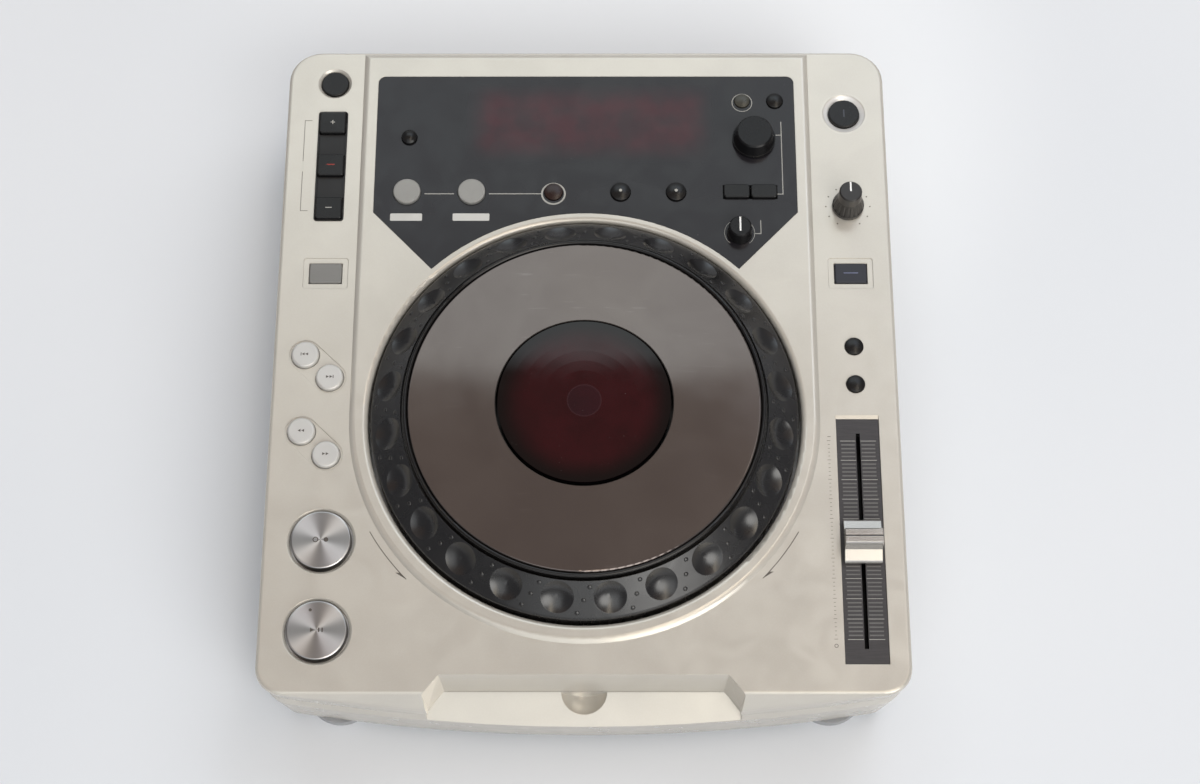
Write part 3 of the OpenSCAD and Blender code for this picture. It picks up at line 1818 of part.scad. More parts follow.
top_cover();
lower_case();
base_plate();
rubber_feet();
case_screws();
rear_panel();
rear_jacks();
power_inlet();
power_rocker();
display_panel();
display_module();
strip_bezel();
fader_plate();
fader_pot();
rotary_pots();
key_boards();
main_board();
power_supply();
jog_support();
jog_display();
jog_window();
jog_hub();
jog_ring();
jog_plate();
encoder_gear();
loader_chassis();
drive_motors();
loading_roller();
spindle_hub();
pickup_sled();
feed_gear();
fader_knob();
browse_knob();
trim_knob();
brake_knob();
eject_button();
strip_key_a();
strip_key_b();
strip_key_c();
memo_button();
track_back_button();
track_next_button();
search_back_button();
search_next_button();
cue_button();
play_button();
mode_button();
range_button();
reset_button();
lock_button();
dome_button();
loop_in_button();
loop_out_button();
loop_exit_button();
text_button();
time_button();
memory_button();
delete_button();
call_back_button();
call_next_button();
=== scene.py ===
"""Looks of a tabletop disc player with a large jog wheel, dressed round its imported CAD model.

Metres, in the frame of the model: +X to the right as seen from the front, +Y to the back, +Z up.
Printed marks are laid out in millimetres.
"""

import math

import bmesh
import bpy
from mathutils import Matrix, Vector


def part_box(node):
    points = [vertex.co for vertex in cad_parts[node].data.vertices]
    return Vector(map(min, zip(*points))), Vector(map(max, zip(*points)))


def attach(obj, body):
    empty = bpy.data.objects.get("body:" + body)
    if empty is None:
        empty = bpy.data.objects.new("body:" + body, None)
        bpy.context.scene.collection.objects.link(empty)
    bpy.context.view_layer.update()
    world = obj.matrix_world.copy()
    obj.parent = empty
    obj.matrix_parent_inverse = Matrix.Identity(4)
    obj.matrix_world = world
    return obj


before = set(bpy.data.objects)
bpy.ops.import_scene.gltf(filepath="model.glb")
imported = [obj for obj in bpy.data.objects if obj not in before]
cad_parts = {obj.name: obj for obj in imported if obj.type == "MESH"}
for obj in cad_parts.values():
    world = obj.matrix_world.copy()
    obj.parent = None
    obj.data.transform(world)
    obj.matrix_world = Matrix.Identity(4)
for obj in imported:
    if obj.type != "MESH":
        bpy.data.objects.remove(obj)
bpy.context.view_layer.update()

MM = 0.001
INK_T = 0.03  # thickness of printed marks, in millimetres
LOW, HIGH = 0.3, 0.7  # most of a noise texture lies between these values
TICKS = range(-25, 26)  # ticks on both sides of the middle of the fader's travel
TICK_PITCH = 2.083  # distance between two ticks, in millimetres
TICK_SHIFT = 0.4  # how far the scale's middle lies behind the middle of the plate, in millimetres
LONG_TICK = 5  # every fifth tick is a long one


# ---- Nodes ----

class Graph:
    """Short names for the nodes that materials and the world are made of."""

    def __init__(self, tree):
        self.tree = tree

    def node(self, kind, **settings):
        made = self.tree.nodes.new(kind)
        for name, value in settings.items():
            setattr(made, name, value)
        return made

    def feed(self, socket, value):
        """Puts a number, a colour or another node's output into a socket."""
        if isinstance(value, bpy.types.NodeSocket):
            self.tree.links.new(value, socket)
        else:
            socket.default_value = value

    def math(self, operation, *values):
        made = self.node("ShaderNodeMath", operation=operation)
        for socket, value in zip(made.inputs, values):
            self.feed(socket, value)
        return made.outputs[0]

    def both(self, *masks):
        """The overlap of two or more masks."""
        product = masks[0]
        for mask in masks[1:]:
            product = self.math("MULTIPLY", product, mask)
        return product

    def span(self, value, low, high, out_low=0.0, out_high=1.0):
        """Maps low..high to out_low..out_high with soft ends."""
        made = self.node("ShaderNodeMapRange", interpolation_type="SMOOTHSTEP")
        for socket, number in zip(made.inputs, (value, low, high, out_low, out_high)):
            self.feed(socket, number)
        return made.outputs[0]

    def blend(self, factor, a, b):
        """Colour a where factor is 0, colour b where it is 1."""
        made = self.node("ShaderNodeMix", data_type="RGBA")
        self.feed(made.inputs[0], factor)
        for socket, value in ((made.inputs[6], a), (made.inputs[7], b)):
            self.feed(socket, value if isinstance(value, bpy.types.NodeSocket) else (*value, 1))
        return made.outputs[2]

    def axes(self, vector):
        parts = self.node("ShaderNodeSeparateXYZ")
        self.feed(parts.inputs[0], vector)
        return parts.outputs

    def seen(self):
        """1 for rays that come straight from the camera."""
        return self.node("ShaderNodeLightPath").outputs["Is Camera Ray"]


class Look(Graph):
    """A material with one Principled shader and the procedural parts that are added to it."""

    def __init__(self, name, colour, roughness, **sockets):
        self.material = bpy.data.materials.new("look_" + name)
        self.material.use_nodes = True
        super().__init__(self.material.node_tree)
        self.shader = self.tree.nodes["Principled BSDF"]
        self.set("Base Color", (*colour, 1))
        self.set("Roughness", roughness)
        for socket, value in sockets.items():
            self.set(socket.replace("_", " "), value)
        self.here = self.node("ShaderNodeTexCoord").outputs["Object"]

    def set(self, socket, value):
        self.shader.inputs[socket].default_value = value

    def give(self, socket, value):
        self.feed(self.shader.inputs[socket], value)

    def colour_so_far(self):
        return self.shader.inputs["Base Color"].links[0].from_socket

    def noise(self, size_mm, detail=3.0, stretch=(1, 1, 1), distortion=0.0):
        """Noise whose features are about size_mm across."""
        place = self.node("ShaderNodeMapping")
        self.feed(place.inputs["Vector"], self.here)
        place.inputs["Scale"].default_value = [s / (size_mm * MM) for s in stretch]
        made = self.node("ShaderNodeTexNoise")
        made.inputs["Scale"].default_value = 1.0
        made.inputs["Detail"].default_value = detail
        made.inputs["Distortion"].default_value = distortion
        self.feed(made.inputs["Vector"], place.outputs[0])
        return made.outputs["Fac"]

    def patches(self, size_mm, detail=3.0, low=0.0, high=1.0, distortion=0.0):
        """Soft patches about size_mm across, with values from low to high."""
        return self.span(self.noise(size_mm, detail, distortion=distortion), LOW, HIGH, low, high)

    def normal_z(self):
        return self.axes(self.node("ShaderNodeTexCoord").outputs["Normal"])[2]

    def around(self, centre):
        """Offsets from a vertical axis through centre, and the distance to it, in metres."""
        x, y, _ = self.axes(self.here)
        dx = self.math("SUBTRACT", x, centre[0])
        dy = self.math("SUBTRACT", y, centre[1])
        squares = self.math("ADD", self.math("MULTIPLY", dx, dx), self.math("MULTIPLY", dy, dy))
        return dx, dy, self.math("SQRT", squares)

    def bump(self, height, depth_mm):
        made = self.node("ShaderNodeBump")
        made.inputs["Strength"].default_value = 1.0
        made.inputs["Distance"].default_value = depth_mm * MM
        self.feed(made.inputs["Height"], height)
        before = self.shader.inputs["Normal"].links
        if before:
            self.feed(made.inputs["Normal"], before[0].from_socket)
        self.give("Normal", made.outputs[0])

    def soft_edges(self, radius_mm):
        """Rounds the shading at the edges and returns a mask of them."""
        flat, sharp = 0.995, 0.86  # cosine of the rounded normal's turn on flat faces and at edges
        bevel = self.node("ShaderNodeBevel", samples=4)
        bevel.inputs["Radius"].default_value = radius_mm * MM
        turn = self.node("ShaderNodeVectorMath", operation="DOT_PRODUCT")
        self.feed(turn.inputs[0], bevel.outputs[0])
        self.feed(turn.inputs[1], self.node("ShaderNodeNewGeometry").outputs["Normal"])
        self.give("Normal", bevel.outputs[0])
        return self.span(turn.outputs["Value"], flat, sharp)


# ---- Materials ----

def shade(colour, factor):
    return tuple(min(1.0, c * factor) for c in colour)


def moulded(name, colour, roughness, mottle=0.06, smudge=0.05, grain_mm=0.3, grain_depth=0.012,
            edge=0.25, wear=0.25, **sockets):
    """Painted or moulded surface: soft mottling, smudged gloss, fine grain and worn edges."""
    patch_mm, rub_mm, smudge_mm = 38, 6, 17
    rub_low, rub_high, rubbed_tone = 0.42, 0.62, 1.35
    haze_low, haze_high = 0.25, 0.75
    look = Look(name, colour, roughness, **sockets)
    worn = look.soft_edges(edge)
    tone = look.blend(look.patches(patch_mm, 4, distortion=0.6),
                      shade(colour, 1 - mottle), shade(colour, 1 + mottle))
    rub = look.both(worn, look.span(look.noise(rub_mm, 5), rub_low, rub_high, 0, wear))
    look.give("Base Color", look.blend(rub, tone, shade(colour, rubbed_tone)))
    haze = look.span(look.noise(smudge_mm, 5, distortion=1.2), haze_low, haze_high, -smudge, smudge)
    look.give("Roughness", look.math("ADD", haze, roughness))
    look.bump(look.noise(grain_mm, 2), grain_depth)
    return look


def dusted(look, amount=0.5):
    """Adds sparse specks of dust to the upward faces, over the colour that a look already has."""
    dust = (0.55, 0.53, 0.5)
    speck_mm, speck_low, speck_high = 0.9, 0.74, 0.8
    patch_mm, patch_low, patch_high = 25, 0.45, 0.75
    steep, level = 0.5, 0.9  # the normal's Z where no dust stays, and where it all stays
    before = look.colour_so_far()
    specks = look.span(look.noise(speck_mm, 2), speck_low, speck_high, 0, amount)
    dusty = look.span(look.noise(patch_mm, 3), patch_low, patch_high)
    up = look.span(look.normal_z(), steep, level)
    look.give("Base Color", look.blend(look.both(specks, dusty, up), before, dust))
    return look


def silver_paint():
    """Champagne silver paint: fine flakes under a soft gloss, with a painted highlight that makes it lighter
    in the dish of the mode button.
    """
    paint, flake, painted_dish_highlight = (0.648, 0.610, 0.545), (0.80, 0.78, 0.74), (0.93, 0.92, 0.90)
    flake_mm, flake_low, flake_high, flake_share = 0.8, 0.4, 0.7, 0.06
    look = moulded("silver_paint", paint, 0.23, mottle=0.03, smudge=0.04,
                   grain_mm=1.4, grain_depth=0.002, edge=0.5, wear=0.15, Metallic=0.41)
    before = look.colour_so_far()
    sparkle = look.span(look.noise(flake_mm, 1), flake_low, flake_high, 0.0, flake_share)
    flaked = look.blend(sparkle, before, flake)
    # painted highlight: the paint in the dish round the mode button is made near white
    low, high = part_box("mode_button")
    dish_r, rim = 12.5 * MM, 0.25 * MM
    deck_z, dish_z = high.z - 0.3 * MM, high.z - 0.9 * MM
    z = look.axes(look.here)[2]
    near_button = look.span(look.around((low + high) / 2)[2], dish_r + rim, dish_r - rim)
    dish = look.both(near_button, look.span(z, deck_z, dish_z))
    look.give("Base Color", look.blend(dish, flaked, painted_dish_highlight))
    return look


def knob_metal(node, groove_mm):
    """Satin silver metal with a painted shadow line in the groove across the middle of the grip."""
    silver, dark = (0.66, 0.64, 0.61), (0.06, 0.05, 0.05)
    low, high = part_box(node)
    side_z, top_z = high.z - 2 * MM, high.z - MM
    look = moulded("fader_knob", silver, 0.2, mottle=0.03, smudge=0.03, grain_mm=1.0, grain_depth=0.002,
                   edge=0.4, wear=0.1, Metallic=0.8)
    _, y, z = look.axes(look.here)
    # painted shadow: the groove across the grip is darkened in the colour, near the top of the knob
    off = look.math("ABSOLUTE", look.math("SUBTRACT", y, (low.y + high.y) / 2))
    line = look.both(look.span(off, groove_mm * MM, 0.7 * groove_mm * MM), look.span(z, side_z, top_z))
    look.give("Base Color", look.blend(line, look.colour_so_far(), dark))
    return look


def panel_gloss(tint_low, tint_high):
    """Near-black acrylic. The display behind it shows as a faint red area with a grid of cells."""
    clear, lit_red = (0.014, 0.013, 0.016), (0.055, 0.010, 0.016)
    soft, cell_mm = 0.008, 1.6
    gap_at, middle_at, gap_light = -0.3, 0.9, 0.75
    cloud_mm, cloud_light = 14, 0.45
    smear_mm, glossy, smeared = 20, 0.12, 0.24
    wave_mm, wave_depth = 9, 0.004
    look = Look("panel_gloss", (0.012, 0.012, 0.013), 0.16, IOR=1.5)
    x, y, _ = look.axes(look.here)
    across = look.both(look.span(x, tint_low[0] - soft, tint_low[0] + soft),
                       look.span(x, tint_high[0] + soft, tint_high[0] - soft))
    along = look.both(look.span(y, tint_low[1] - soft, tint_low[1] + soft),
                      look.span(y, tint_high[1] + soft, tint_high[1] - soft))
    per_metre = 2 * math.pi / (cell_mm * MM)
    columns = look.math("SINE", look.math("MULTIPLY", x, per_metre))
    rows = look.math("SINE", look.math("MULTIPLY", y, per_metre))
    grid = look.span(look.math("MULTIPLY", columns, rows), gap_at, middle_at, gap_light, 1.0)
    lit = look.both(look.both(across, along), grid, look.patches(cloud_mm, 3, cloud_light, 1.0))
    look.give("Base Color", look.blend(lit, clear, lit_red))
    look.give("Roughness", look.patches(smear_mm, 5, glossy, smeared, distortion=1.0))
    look.bump(look.noise(wave_mm, 2), wave_depth)
    return dusted(look, 0.35)


def window_red(centre, radius):
    """Dark red glossy window: darker to its rim, with a faint small ring in the middle."""
    red_low, red_high, rim = (0.019, 0.0015, 0.003), (0.027, 0.002, 0.004), (0.002, 0.001, 0.0015)
    ring_tint, core_tint = (0.05, 0.024, 0.03), (0.02, 0.01, 0.016)
    ring_share, core_share = 0.4, 0.3
    ring_r, ring_w = 8.4 * MM, 0.5 * MM
    rim_from = 0.66  # share of the radius where it starts to darken
    cloud_mm = 16
    smear_mm, glossy, smeared = 12, 0.03, 0.07
    look = Look("window", (0.03, 0.005, 0.006), 0.06, IOR=1.5)
    r = look.around(centre)[2]
    red = look.blend(look.patches(cloud_mm, 3), red_low, red_high)
    deep = look.blend(look.span(r, rim_from * radius, radius), red, rim)
    off = look.math("ABSOLUTE", look.math("SUBTRACT", r, ring_r))
    ringed = look.blend(look.span(off, ring_w, 0.2 * ring_w, 0, ring_share), deep, ring_tint)
    core = look.blend(look.span(r, ring_r, ring_r - ring_w, 0, core_share), ringed, core_tint)
    look.give("Base Color", core)
    look.give("Roughness", look.patches(smear_mm, 4, glossy, smeared))
    return dusted(look, 0.25)


def jog_plate_satin():
    """Brown-grey satin metal with fine scratches across and soft smears."""
    tone_low, tone_high, scratched = (0.170, 0.145, 0.135), (0.192, 0.166, 0.154), (0.30, 0.27, 0.26)
    cloud_mm, grain_mm, grain_depth = 45, 0.5, 0.001
    scratch_mm, scratch_low, scratch_high, scratch_share = 1.1, 0.66, 0.74, 0.35
    smear_mm, glossy, smeared = 26, 0.085, 0.13
    look = Look("plate_satin", (0.18, 0.158, 0.145), 0.11, Metallic=0.76)
    tone = look.blend(look.patches(cloud_mm, 4, distortion=0.8), tone_low, tone_high)
    streaks = look.noise(scratch_mm, 4, stretch=(0.06, 1, 1))
    scratch = look.span(streaks, scratch_low, scratch_high, 0, scratch_share)
    look.give("Base Color", look.blend(scratch, tone, scratched))
    look.give("Roughness", look.patches(smear_mm, 5, glossy, smeared))
    look.bump(look.noise(grain_mm, 2), grain_depth)
    return dusted(look, 0.4)


def give_turned_tangent(look, dx, dy):
    """Stretches the highlights as on turned metal, by a tangent that runs round the axis."""
    along = look.node("ShaderNodeCombineXYZ")
    look.feed(along.inputs[0], look.math("MULTIPLY", dy, -1.0))
    look.feed(along.inputs[1], dx)
    tangent = look.node("ShaderNodeVectorMath", operation="NORMALIZE")
    look.feed(tangent.inputs[0], along.outputs[0])
    look.give("Tangent", tangent.outputs[0])


def painted_sheen_sectors(look, dx, dy):
    """Painted sheen: base colour brighter and darker round the top, in four sectors with two of them
    stronger.
    """
    depth = 0.42  # how much the brightness changes
    two_share, two_at = 0.4, 128  # strength of the two-sided part, and its angle in degrees
    reach = 1.5  # the sum of both waves stays inside this
    turn = look.math("ARCTAN2", dy, dx)
    four = look.math("COSINE", look.math("MULTIPLY", turn, 4.0))
    turned = look.math("SUBTRACT", turn, math.radians(two_at))
    two = look.math("COSINE", look.math("MULTIPLY", turned, 2.0))
    wave = look.math("SUBTRACT", look.math("MULTIPLY", two, two_share), four)
    return look.span(wave, -reach, reach, 1 - depth, 1 + depth)


def spun(name, node):
    """Lathe-turned metal on top of a round button, with painted sheen sectors in its colour; near black on
    its side.
    """
    metal, side = (0.70, 0.695, 0.695), (0.012, 0.012, 0.012)
    side_z, top_z = 0.45, 0.6
    groove_mm, groove_depth = 0.28, 0.0015
    low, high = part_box(node)
    look = Look(name, metal, 0.3, Anisotropic=0.7)
    dx, dy, r = look.around((low + high) / 2)
    give_turned_tangent(look, dx, dy)
    # painted sheen: the metal's colour is made brighter and darker in sectors round the axis
    metal_with_painted_sheen = look.node("ShaderNodeVectorMath", operation="SCALE")
    metal_with_painted_sheen.inputs[0].default_value = metal
    look.feed(metal_with_painted_sheen.inputs["Scale"], painted_sheen_sectors(look, dx, dy))
    top = look.span(look.normal_z(), side_z, top_z)
    look.give("Base Color", look.blend(top, side, metal_with_painted_sheen.outputs[0]))
    look.give("Metallic", top)
    groove = look.math("SINE", look.math("MULTIPLY", r, 2 * math.pi / (groove_mm * MM)))
    look.bump(groove, groove_depth)
    return look


def brushed(name, colour, roughness, metal=1.0):
    """Metal sheet with fine lines along X."""
    line_mm, line_depth, dark_line, light_line = 0.35, 0.006, 0.88, 1.1
    smear_mm, spread = 11, 0.06
    look = Look(name, colour, roughness, Metallic=metal)
    line = look.noise(line_mm, 3, stretch=(0.05, 1, 1))
    tone = look.blend(look.span(line, LOW, HIGH), shade(colour, dark_line), shade(colour, light_line))
    look.give("Base Color", tone)
    look.give("Roughness", look.patches(smear_mm, 4, roughness - spread, roughness + spread))
    look.bump(line, line_depth)
    return look


def slotted(name, colour, roughness, metal):
    """Brushed plate whose faces that don't face up, the walls of its slot among them, are painted near black
    as shade.
    """
    painted_slot_shade, side_z, top_z = (0.004, 0.004, 0.004), 0.3, 0.7
    look = brushed(name, colour, roughness, metal=metal)
    top = look.span(look.normal_z(), side_z, top_z)
    # painted shade: side faces get a near-black colour so that the slot reads dark
    look.give("Base Color", look.blend(top, painted_slot_shade, look.colour_so_far()))
    return look


def board_green():
    """Circuit board with faint copper tracks under the green."""
    green, track_green = (0.012, 0.075, 0.032), (0.03, 0.16, 0.07)
    track_mm, track_low, track_high, track_depth = 2.2, 0.52, 0.56, 0.03
    smear_mm, glossy, smeared = 8, 0.35, 0.55
    look = Look("board", (0.015, 0.09, 0.04), 0.45)
    track = look.span(look.noise(track_mm, 0, stretch=(1, 0.2, 1)), track_low, track_high)
    look.give("Base Color", look.blend(track, green, track_green))
    look.give("Roughness", look.patches(smear_mm, 3, glossy, smeared))
    look.bump(track, track_depth)
    return look


def make_looks():
    """One look for each material slot of the model, and those that SPECIAL names."""
    panel_low, panel_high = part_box("display_module")
    margin = 0.0005
    window_low, window_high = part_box("jog_window")
    return {
        "silver_paint": silver_paint(),
        "steel_sheet": brushed("steel_sheet", (0.42, 0.42, 0.43), 0.42),
        "screw_steel": brushed("screw_steel", (0.3, 0.3, 0.31), 0.3),
        "rubber": moulded("rubber", (0.014, 0.014, 0.015), 0.7, grain_mm=0.5, grain_depth=0.04),
        "black_plastic": dusted(moulded("black_plastic", (0.013, 0.0125, 0.0125), 0.42)),
        "panel_gloss": panel_gloss((panel_low.x + margin, panel_low.y + margin),
                                   (panel_high.x - margin, panel_high.y - margin)),
        "display": moulded("display", (0.06, 0.01, 0.012), 0.3),
        "fader_plate": slotted("fader_plate", (0.058, 0.054, 0.056), 0.4, metal=0.3),
        "steel_part": brushed("steel_part", (0.5, 0.5, 0.5), 0.35),
        "board": board_green(),
        "window": window_red((window_low + window_high) / 2, (window_high.x - window_low.x) / 2),
        "jog_black": moulded("jog_black", (0.008, 0.0075, 0.0075), 0.2, grain_depth=0.002, wear=0.1),
        "ring_rubber": dusted(moulded("ring_rubber", (0.010, 0.0095, 0.0098), 0.28, mottle=0.12, smudge=0.05,
                                      grain_mm=0.45, grain_depth=0.004, edge=0.35, wear=0.4, IOR=1.8), 0.5),
        "plate_satin": jog_plate_satin(),
        "white_plastic": moulded("white_plastic", (0.72, 0.71, 0.67), 0.45),
        "fader_knob": knob_metal("fader_knob", 0.4),
        "knob": dusted(moulded("knob", (0.007, 0.007, 0.0075), 0.24, edge=0.3, wear=0.3, IOR=1.4)),
        "soft_knob": dusted(moulded("soft_knob", (0.026, 0.024, 0.023), 0.32, edge=0.3, wear=0.3)),
        "black_key": dusted(moulded("black_key", (0.009, 0.0088, 0.009), 0.26, edge=0.3, wear=0.3, IOR=1.44)),
        "grey_key": moulded("grey_key", (0.20, 0.195, 0.185), 0.5, edge=0.3),
        "blue_key": moulded("blue_key", (0.022, 0.023, 0.032), 0.3, edge=0.4, wear=0.4),
        "light_key": moulded("light_key", (0.28, 0.275, 0.26), 0.48, edge=0.35),
        "silver_key": moulded("silver_key", (0.62, 0.605, 0.58), 0.4, mottle=0.03, edge=0.5, Metallic=0.4),
        "cue_metal": spun("cue_metal", "cue_button"),
        "play_metal": spun("play_metal", "play_button"),
        "foot_grey": moulded("foot_grey", (0.36, 0.36, 0.37), 0.6, grain_mm=0.5, grain_depth=0.03),
        "lamp_olive": moulded("lamp_olive", (0.05, 0.048, 0.038), 0.3),
        "lamp_brown": moulded("lamp_brown", (0.022, 0.010, 0.008), 0.25),
    }


# Nodes whose finish differs from the one that their slot has
SPECIAL = {"memory_button": "lamp_olive", "loop_exit_button": "lamp_brown", "rubber_feet": "foot_grey",
           "cue_button": "cue_metal", "play_button": "play_metal", "brake_knob": "soft_knob",
           "fader_pot": "black_plastic"}


def dress_nodes(looks):
    for name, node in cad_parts.items():
        for slot in node.material_slots:
            slot.material = looks[SPECIAL.get(name) or slot.material.name].material


# ---- Printed marks ----

class Ink:
    """Flat marks of one colour on one body. Places and sizes are in millimetres."""

    def __init__(self, name, body, look, slot):
        self.name, self.body, self.look, self.slot = name, body, look, slot
        self.mesh = bmesh.new()

    def corner(self, x, y, z):
        return self.mesh.verts.new((x * MM, y * MM, z * MM))

    def face(self, points, z):
        self.mesh.faces.new([self.corner(x, y, z) for x, y in points])

    def band(self, points, width, z, closed=False):
        """A line of a given width along points, with mitred corners."""
        sharpest = 0.4  # cosine that limits how far a mitre reaches
        count = len(points)
        pairs = []
        for i, here in enumerate(points):
            before = points[(i - 1) % count] if closed or i else here
            after = points[(i + 1) % count] if closed or i < count - 1 else here
            a = Vector((here[0] - before[0], here[1] - before[1]))
            b = Vector((after[0] - here[0], after[1] - here[1]))
            a = a.normalized() if a.length else b.normalized()
            b = b.normalized() if b.length else a
            middle = (a + b).normalized()
            side = Vector((-middle.y, middle.x)) * (width / 2 / max(sharpest, middle.dot(b)))
            pairs.append([self.corner(here[0] + s * side.x, here[1] + s * side.y, z) for s in (-1, 1)])
        last = count if closed else count - 1
        for i in range(last):
            (a, b), (c, d) = pairs[i], pairs[(i + 1) % count]
            self.mesh.faces.new((a, c, d, b))

    def disc(self, x, y, radius, z, sides=24):
        self.face(arc(x, y, radius, 0, 360 - 360 / sides, sides), z)

    def ring(self, x, y, radius, width, z, sides=48):
        self.band(arc(x, y, radius, 0, 360 - 360 / sides, sides), width, z, closed=True)

    def bar(self, x, y, width, length, z, corner=0.0):
        """A rectangle, width along X and length along Y, with rounded corners where corner is given."""
        self.face(rounded(x, y, width, length, corner), z)

    def arrow(self, x, y, size, z, turn=0):
        """A triangle that points along turn, in degrees."""
        self.face([(x + size * math.cos(math.radians(turn + a)), y + size * math.sin(math.radians(turn + a)))
                   for a in (0, 125, 235)], z)

    def make(self):
        data = bpy.data.meshes.new(self.name)
        bmesh.ops.recalc_face_normals(self.mesh, faces=self.mesh.faces)
        for face in self.mesh.faces:
            if face.normal.z < 0:
                face.normal_flip()
        self.mesh.to_mesh(data)
        self.mesh.free()
        piece = bpy.data.objects.new(self.name, data)
        bpy.context.scene.collection.objects.link(piece)
        body = piece.modifiers.new("thickness", "SOLIDIFY")
        body.thickness = INK_T * MM
        body.offset = 1
        data.materials.append(self.look.material)
        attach(piece, self.body)


def arc(x, y, radius, start, end, count):
    """Points on an arc, angles in degrees."""
    step = (end - start) / (count - 1)
    return [(x + radius * math.cos(math.radians(start + i * step)),
             y + radius * math.sin(math.radians(start + i * step))) for i in range(count)]


def rounded(x, y, width, length, corner):
    """Outline of a rectangle about x, y, with five points on each rounded corner."""
    if not corner:
        return [(x + sx * width / 2, y + sy * length / 2) for sx, sy in ((-1, -1), (1, -1), (1, 1), (-1, 1))]
    points = []
    for sx, sy, start in ((1, 1, 0), (-1, 1, 90), (-1, -1, 180), (1, -1, 270)):
        centre_x, centre_y = x + sx * (width / 2 - corner), y + sy * (length / 2 - corner)
        points += arc(centre_x, centre_y, corner, start, start + 90, 5)
    return points


def spot(node):
    """Middle and top of a node, in millimetres."""
    low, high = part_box(node)
    return (low.x + high.x) / 2 / MM, (low.y + high.y) / 2 / MM, high.z / MM


def loop_lines(ink, top):
    """The line through the loop buttons, and the rings round the exit and memory buttons."""
    loop_in, loop_out, leave = spot("loop_in_button"), spot("loop_out_button"), spot("loop_exit_button")
    ahead = 0.9  # rings and line lie this far in front of the middle of their buttons
    row = loop_in[1] - ahead
    clear, line = 9.2, 0.5
    ring_r, ring_w = 6.05, 0.9
    ink.band([(loop_in[0] + clear, row), (loop_out[0] - clear, row)], line, top)
    ink.band([(loop_out[0] + clear, row), (leave[0] - ring_r - ring_w / 2, row)], line, top)
    ink.ring(leave[0], leave[1] - ahead, ring_r, ring_w, top)
    memory = spot("memory_button")
    memory_r, memory_w = 5.3, 0.4
    ink.ring(memory[0], memory[1] - ahead, memory_r, memory_w, top)


def panel_brackets(ink, top):
    """Bracket right of the memory and call keys, and bracket and arc at the trim knob."""
    rail, rail_w = 104.2, 0.45
    rail_back, rail_front = 136.0, 92.6
    tick, tick_at = 3.0, 127.9
    ink.band([(rail, rail_back), (rail, rail_front), (rail - tick, rail_front)], rail_w, top)
    ink.band([(rail - 0.2, tick_at), (rail - tick, tick_at)], rail_w, top)
    x, y, _ = spot("trim_knob")
    post, post_back, post_front, stem, post_w = 11.2, 7.3, -0.5, 7.6, 0.4
    ink.band([(x + post, y + post_back), (x + post, y + post_front), (x + stem, y + post_front)], post_w, top)
    scale_r, scale_w = 7.9, 0.22
    ink.band(arc(x, y, scale_r, -50, 230, 40), scale_w, top)


def panel_bars(bar_look, top):
    """Plain light bars in front of the two loop buttons."""
    bars = Ink("panel_bars", "case", bar_look, "light_key")
    bar_y, bar_l, corner = 79.05, 4.3, 0.6
    for node, width in (("loop_in_button", 16.8), ("loop_out_button", 19.3)):
        bars.bar(spot(node)[0], bar_y, width, bar_l, top, corner)
    bars.make()


def panel_marks(light, bar_look):
    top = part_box("display_panel")[1].z / MM
    ink = Ink("panel_lines", "case", light, "light_key")
    loop_lines(ink, top)
    panel_brackets(ink, top)
    ink.make()
    panel_bars(bar_look, top)


def strip_bracket(ink, deck):
    """Bracket beside the three keys, open in the middle."""
    rail, line, tick = -150.2, 0.3, 3.8
    back, front, gap_back, gap_front = 137.6, 83.6, 113.2, 106.9
    ink.band([(rail + tick, back), (rail, back), (rail, gap_back)], line, deck)
    ink.band([(rail, gap_front), (rail, front), (rail + tick, front)], line, deck)


def knob_dots(ink, deck):
    """Eleven dots round the tall knob."""
    x, y, _ = spot("brake_knob")
    count, first, step = 11, -60, 30
    radius, dot_r, sides = 11.6, 0.42, 12
    for i in range(count):
        turn = math.radians(first + step * i)
        ink.disc(x + radius * math.cos(turn), y + radius * math.sin(turn), dot_r, deck, sides)


def fader_scale(ink, deck):
    """Ticks left of the fader plate, with a small ring in front of them and a bar behind."""
    x, y, _ = spot("fader_plate")
    scale_x, short, long, line = x - 14.9, 1.0, 1.8, 0.22
    for i in TICKS:
        width = short if i % LONG_TICK else long
        ink.bar(scale_x, y + TICK_SHIFT + i * TICK_PITCH, width, line, deck)
    reach = TICKS[-1] * TICK_PITCH
    ring_gap, ring_r, end_line = 3.0, 0.85, 0.3
    ink.ring(scale_x, y - reach - ring_gap, ring_r, end_line, deck, 20)
    bar_x, bar_gap, bar_w = x - 14.6, 2.6, 1.6
    ink.bar(bar_x, y + reach + bar_gap, bar_w, end_line, deck)


def turn_arrows(ink, deck):
    """A thin arc with an arrow head on each side of the wheel's front."""
    jog = spot("jog_ring")
    sweep, line = 123.2, 0.42
    head_l, notch_l, head_w, lift = 6.2, 4.6, 1.7, 0.01
    for start, end in ((-150, -135.4), (-30, -44.2)):
        path = arc(jog[0], jog[1], sweep, start, end, 16)
        ink.band(path, line, deck)
        tip, back = Vector(path[-1]), Vector(path[-4])
        along = (tip - back).normalized()
        out = (back - Vector(jog[:2])).normalized()
        wing, notch = tip - along * head_l + out * head_w, tip - along * notch_l
        ink.face([tuple(tip), tuple(wing), tuple(notch)], deck + lift)


def deck_marks(dark):
    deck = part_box("eject_button")[1].z / MM + 0.2
    ink = Ink("deck_lines", "case", dark, "black_plastic")
    strip_bracket(ink, deck)
    knob_dots(ink, deck)
    fader_scale(ink, deck)
    turn_arrows(ink, deck)
    ink.make()


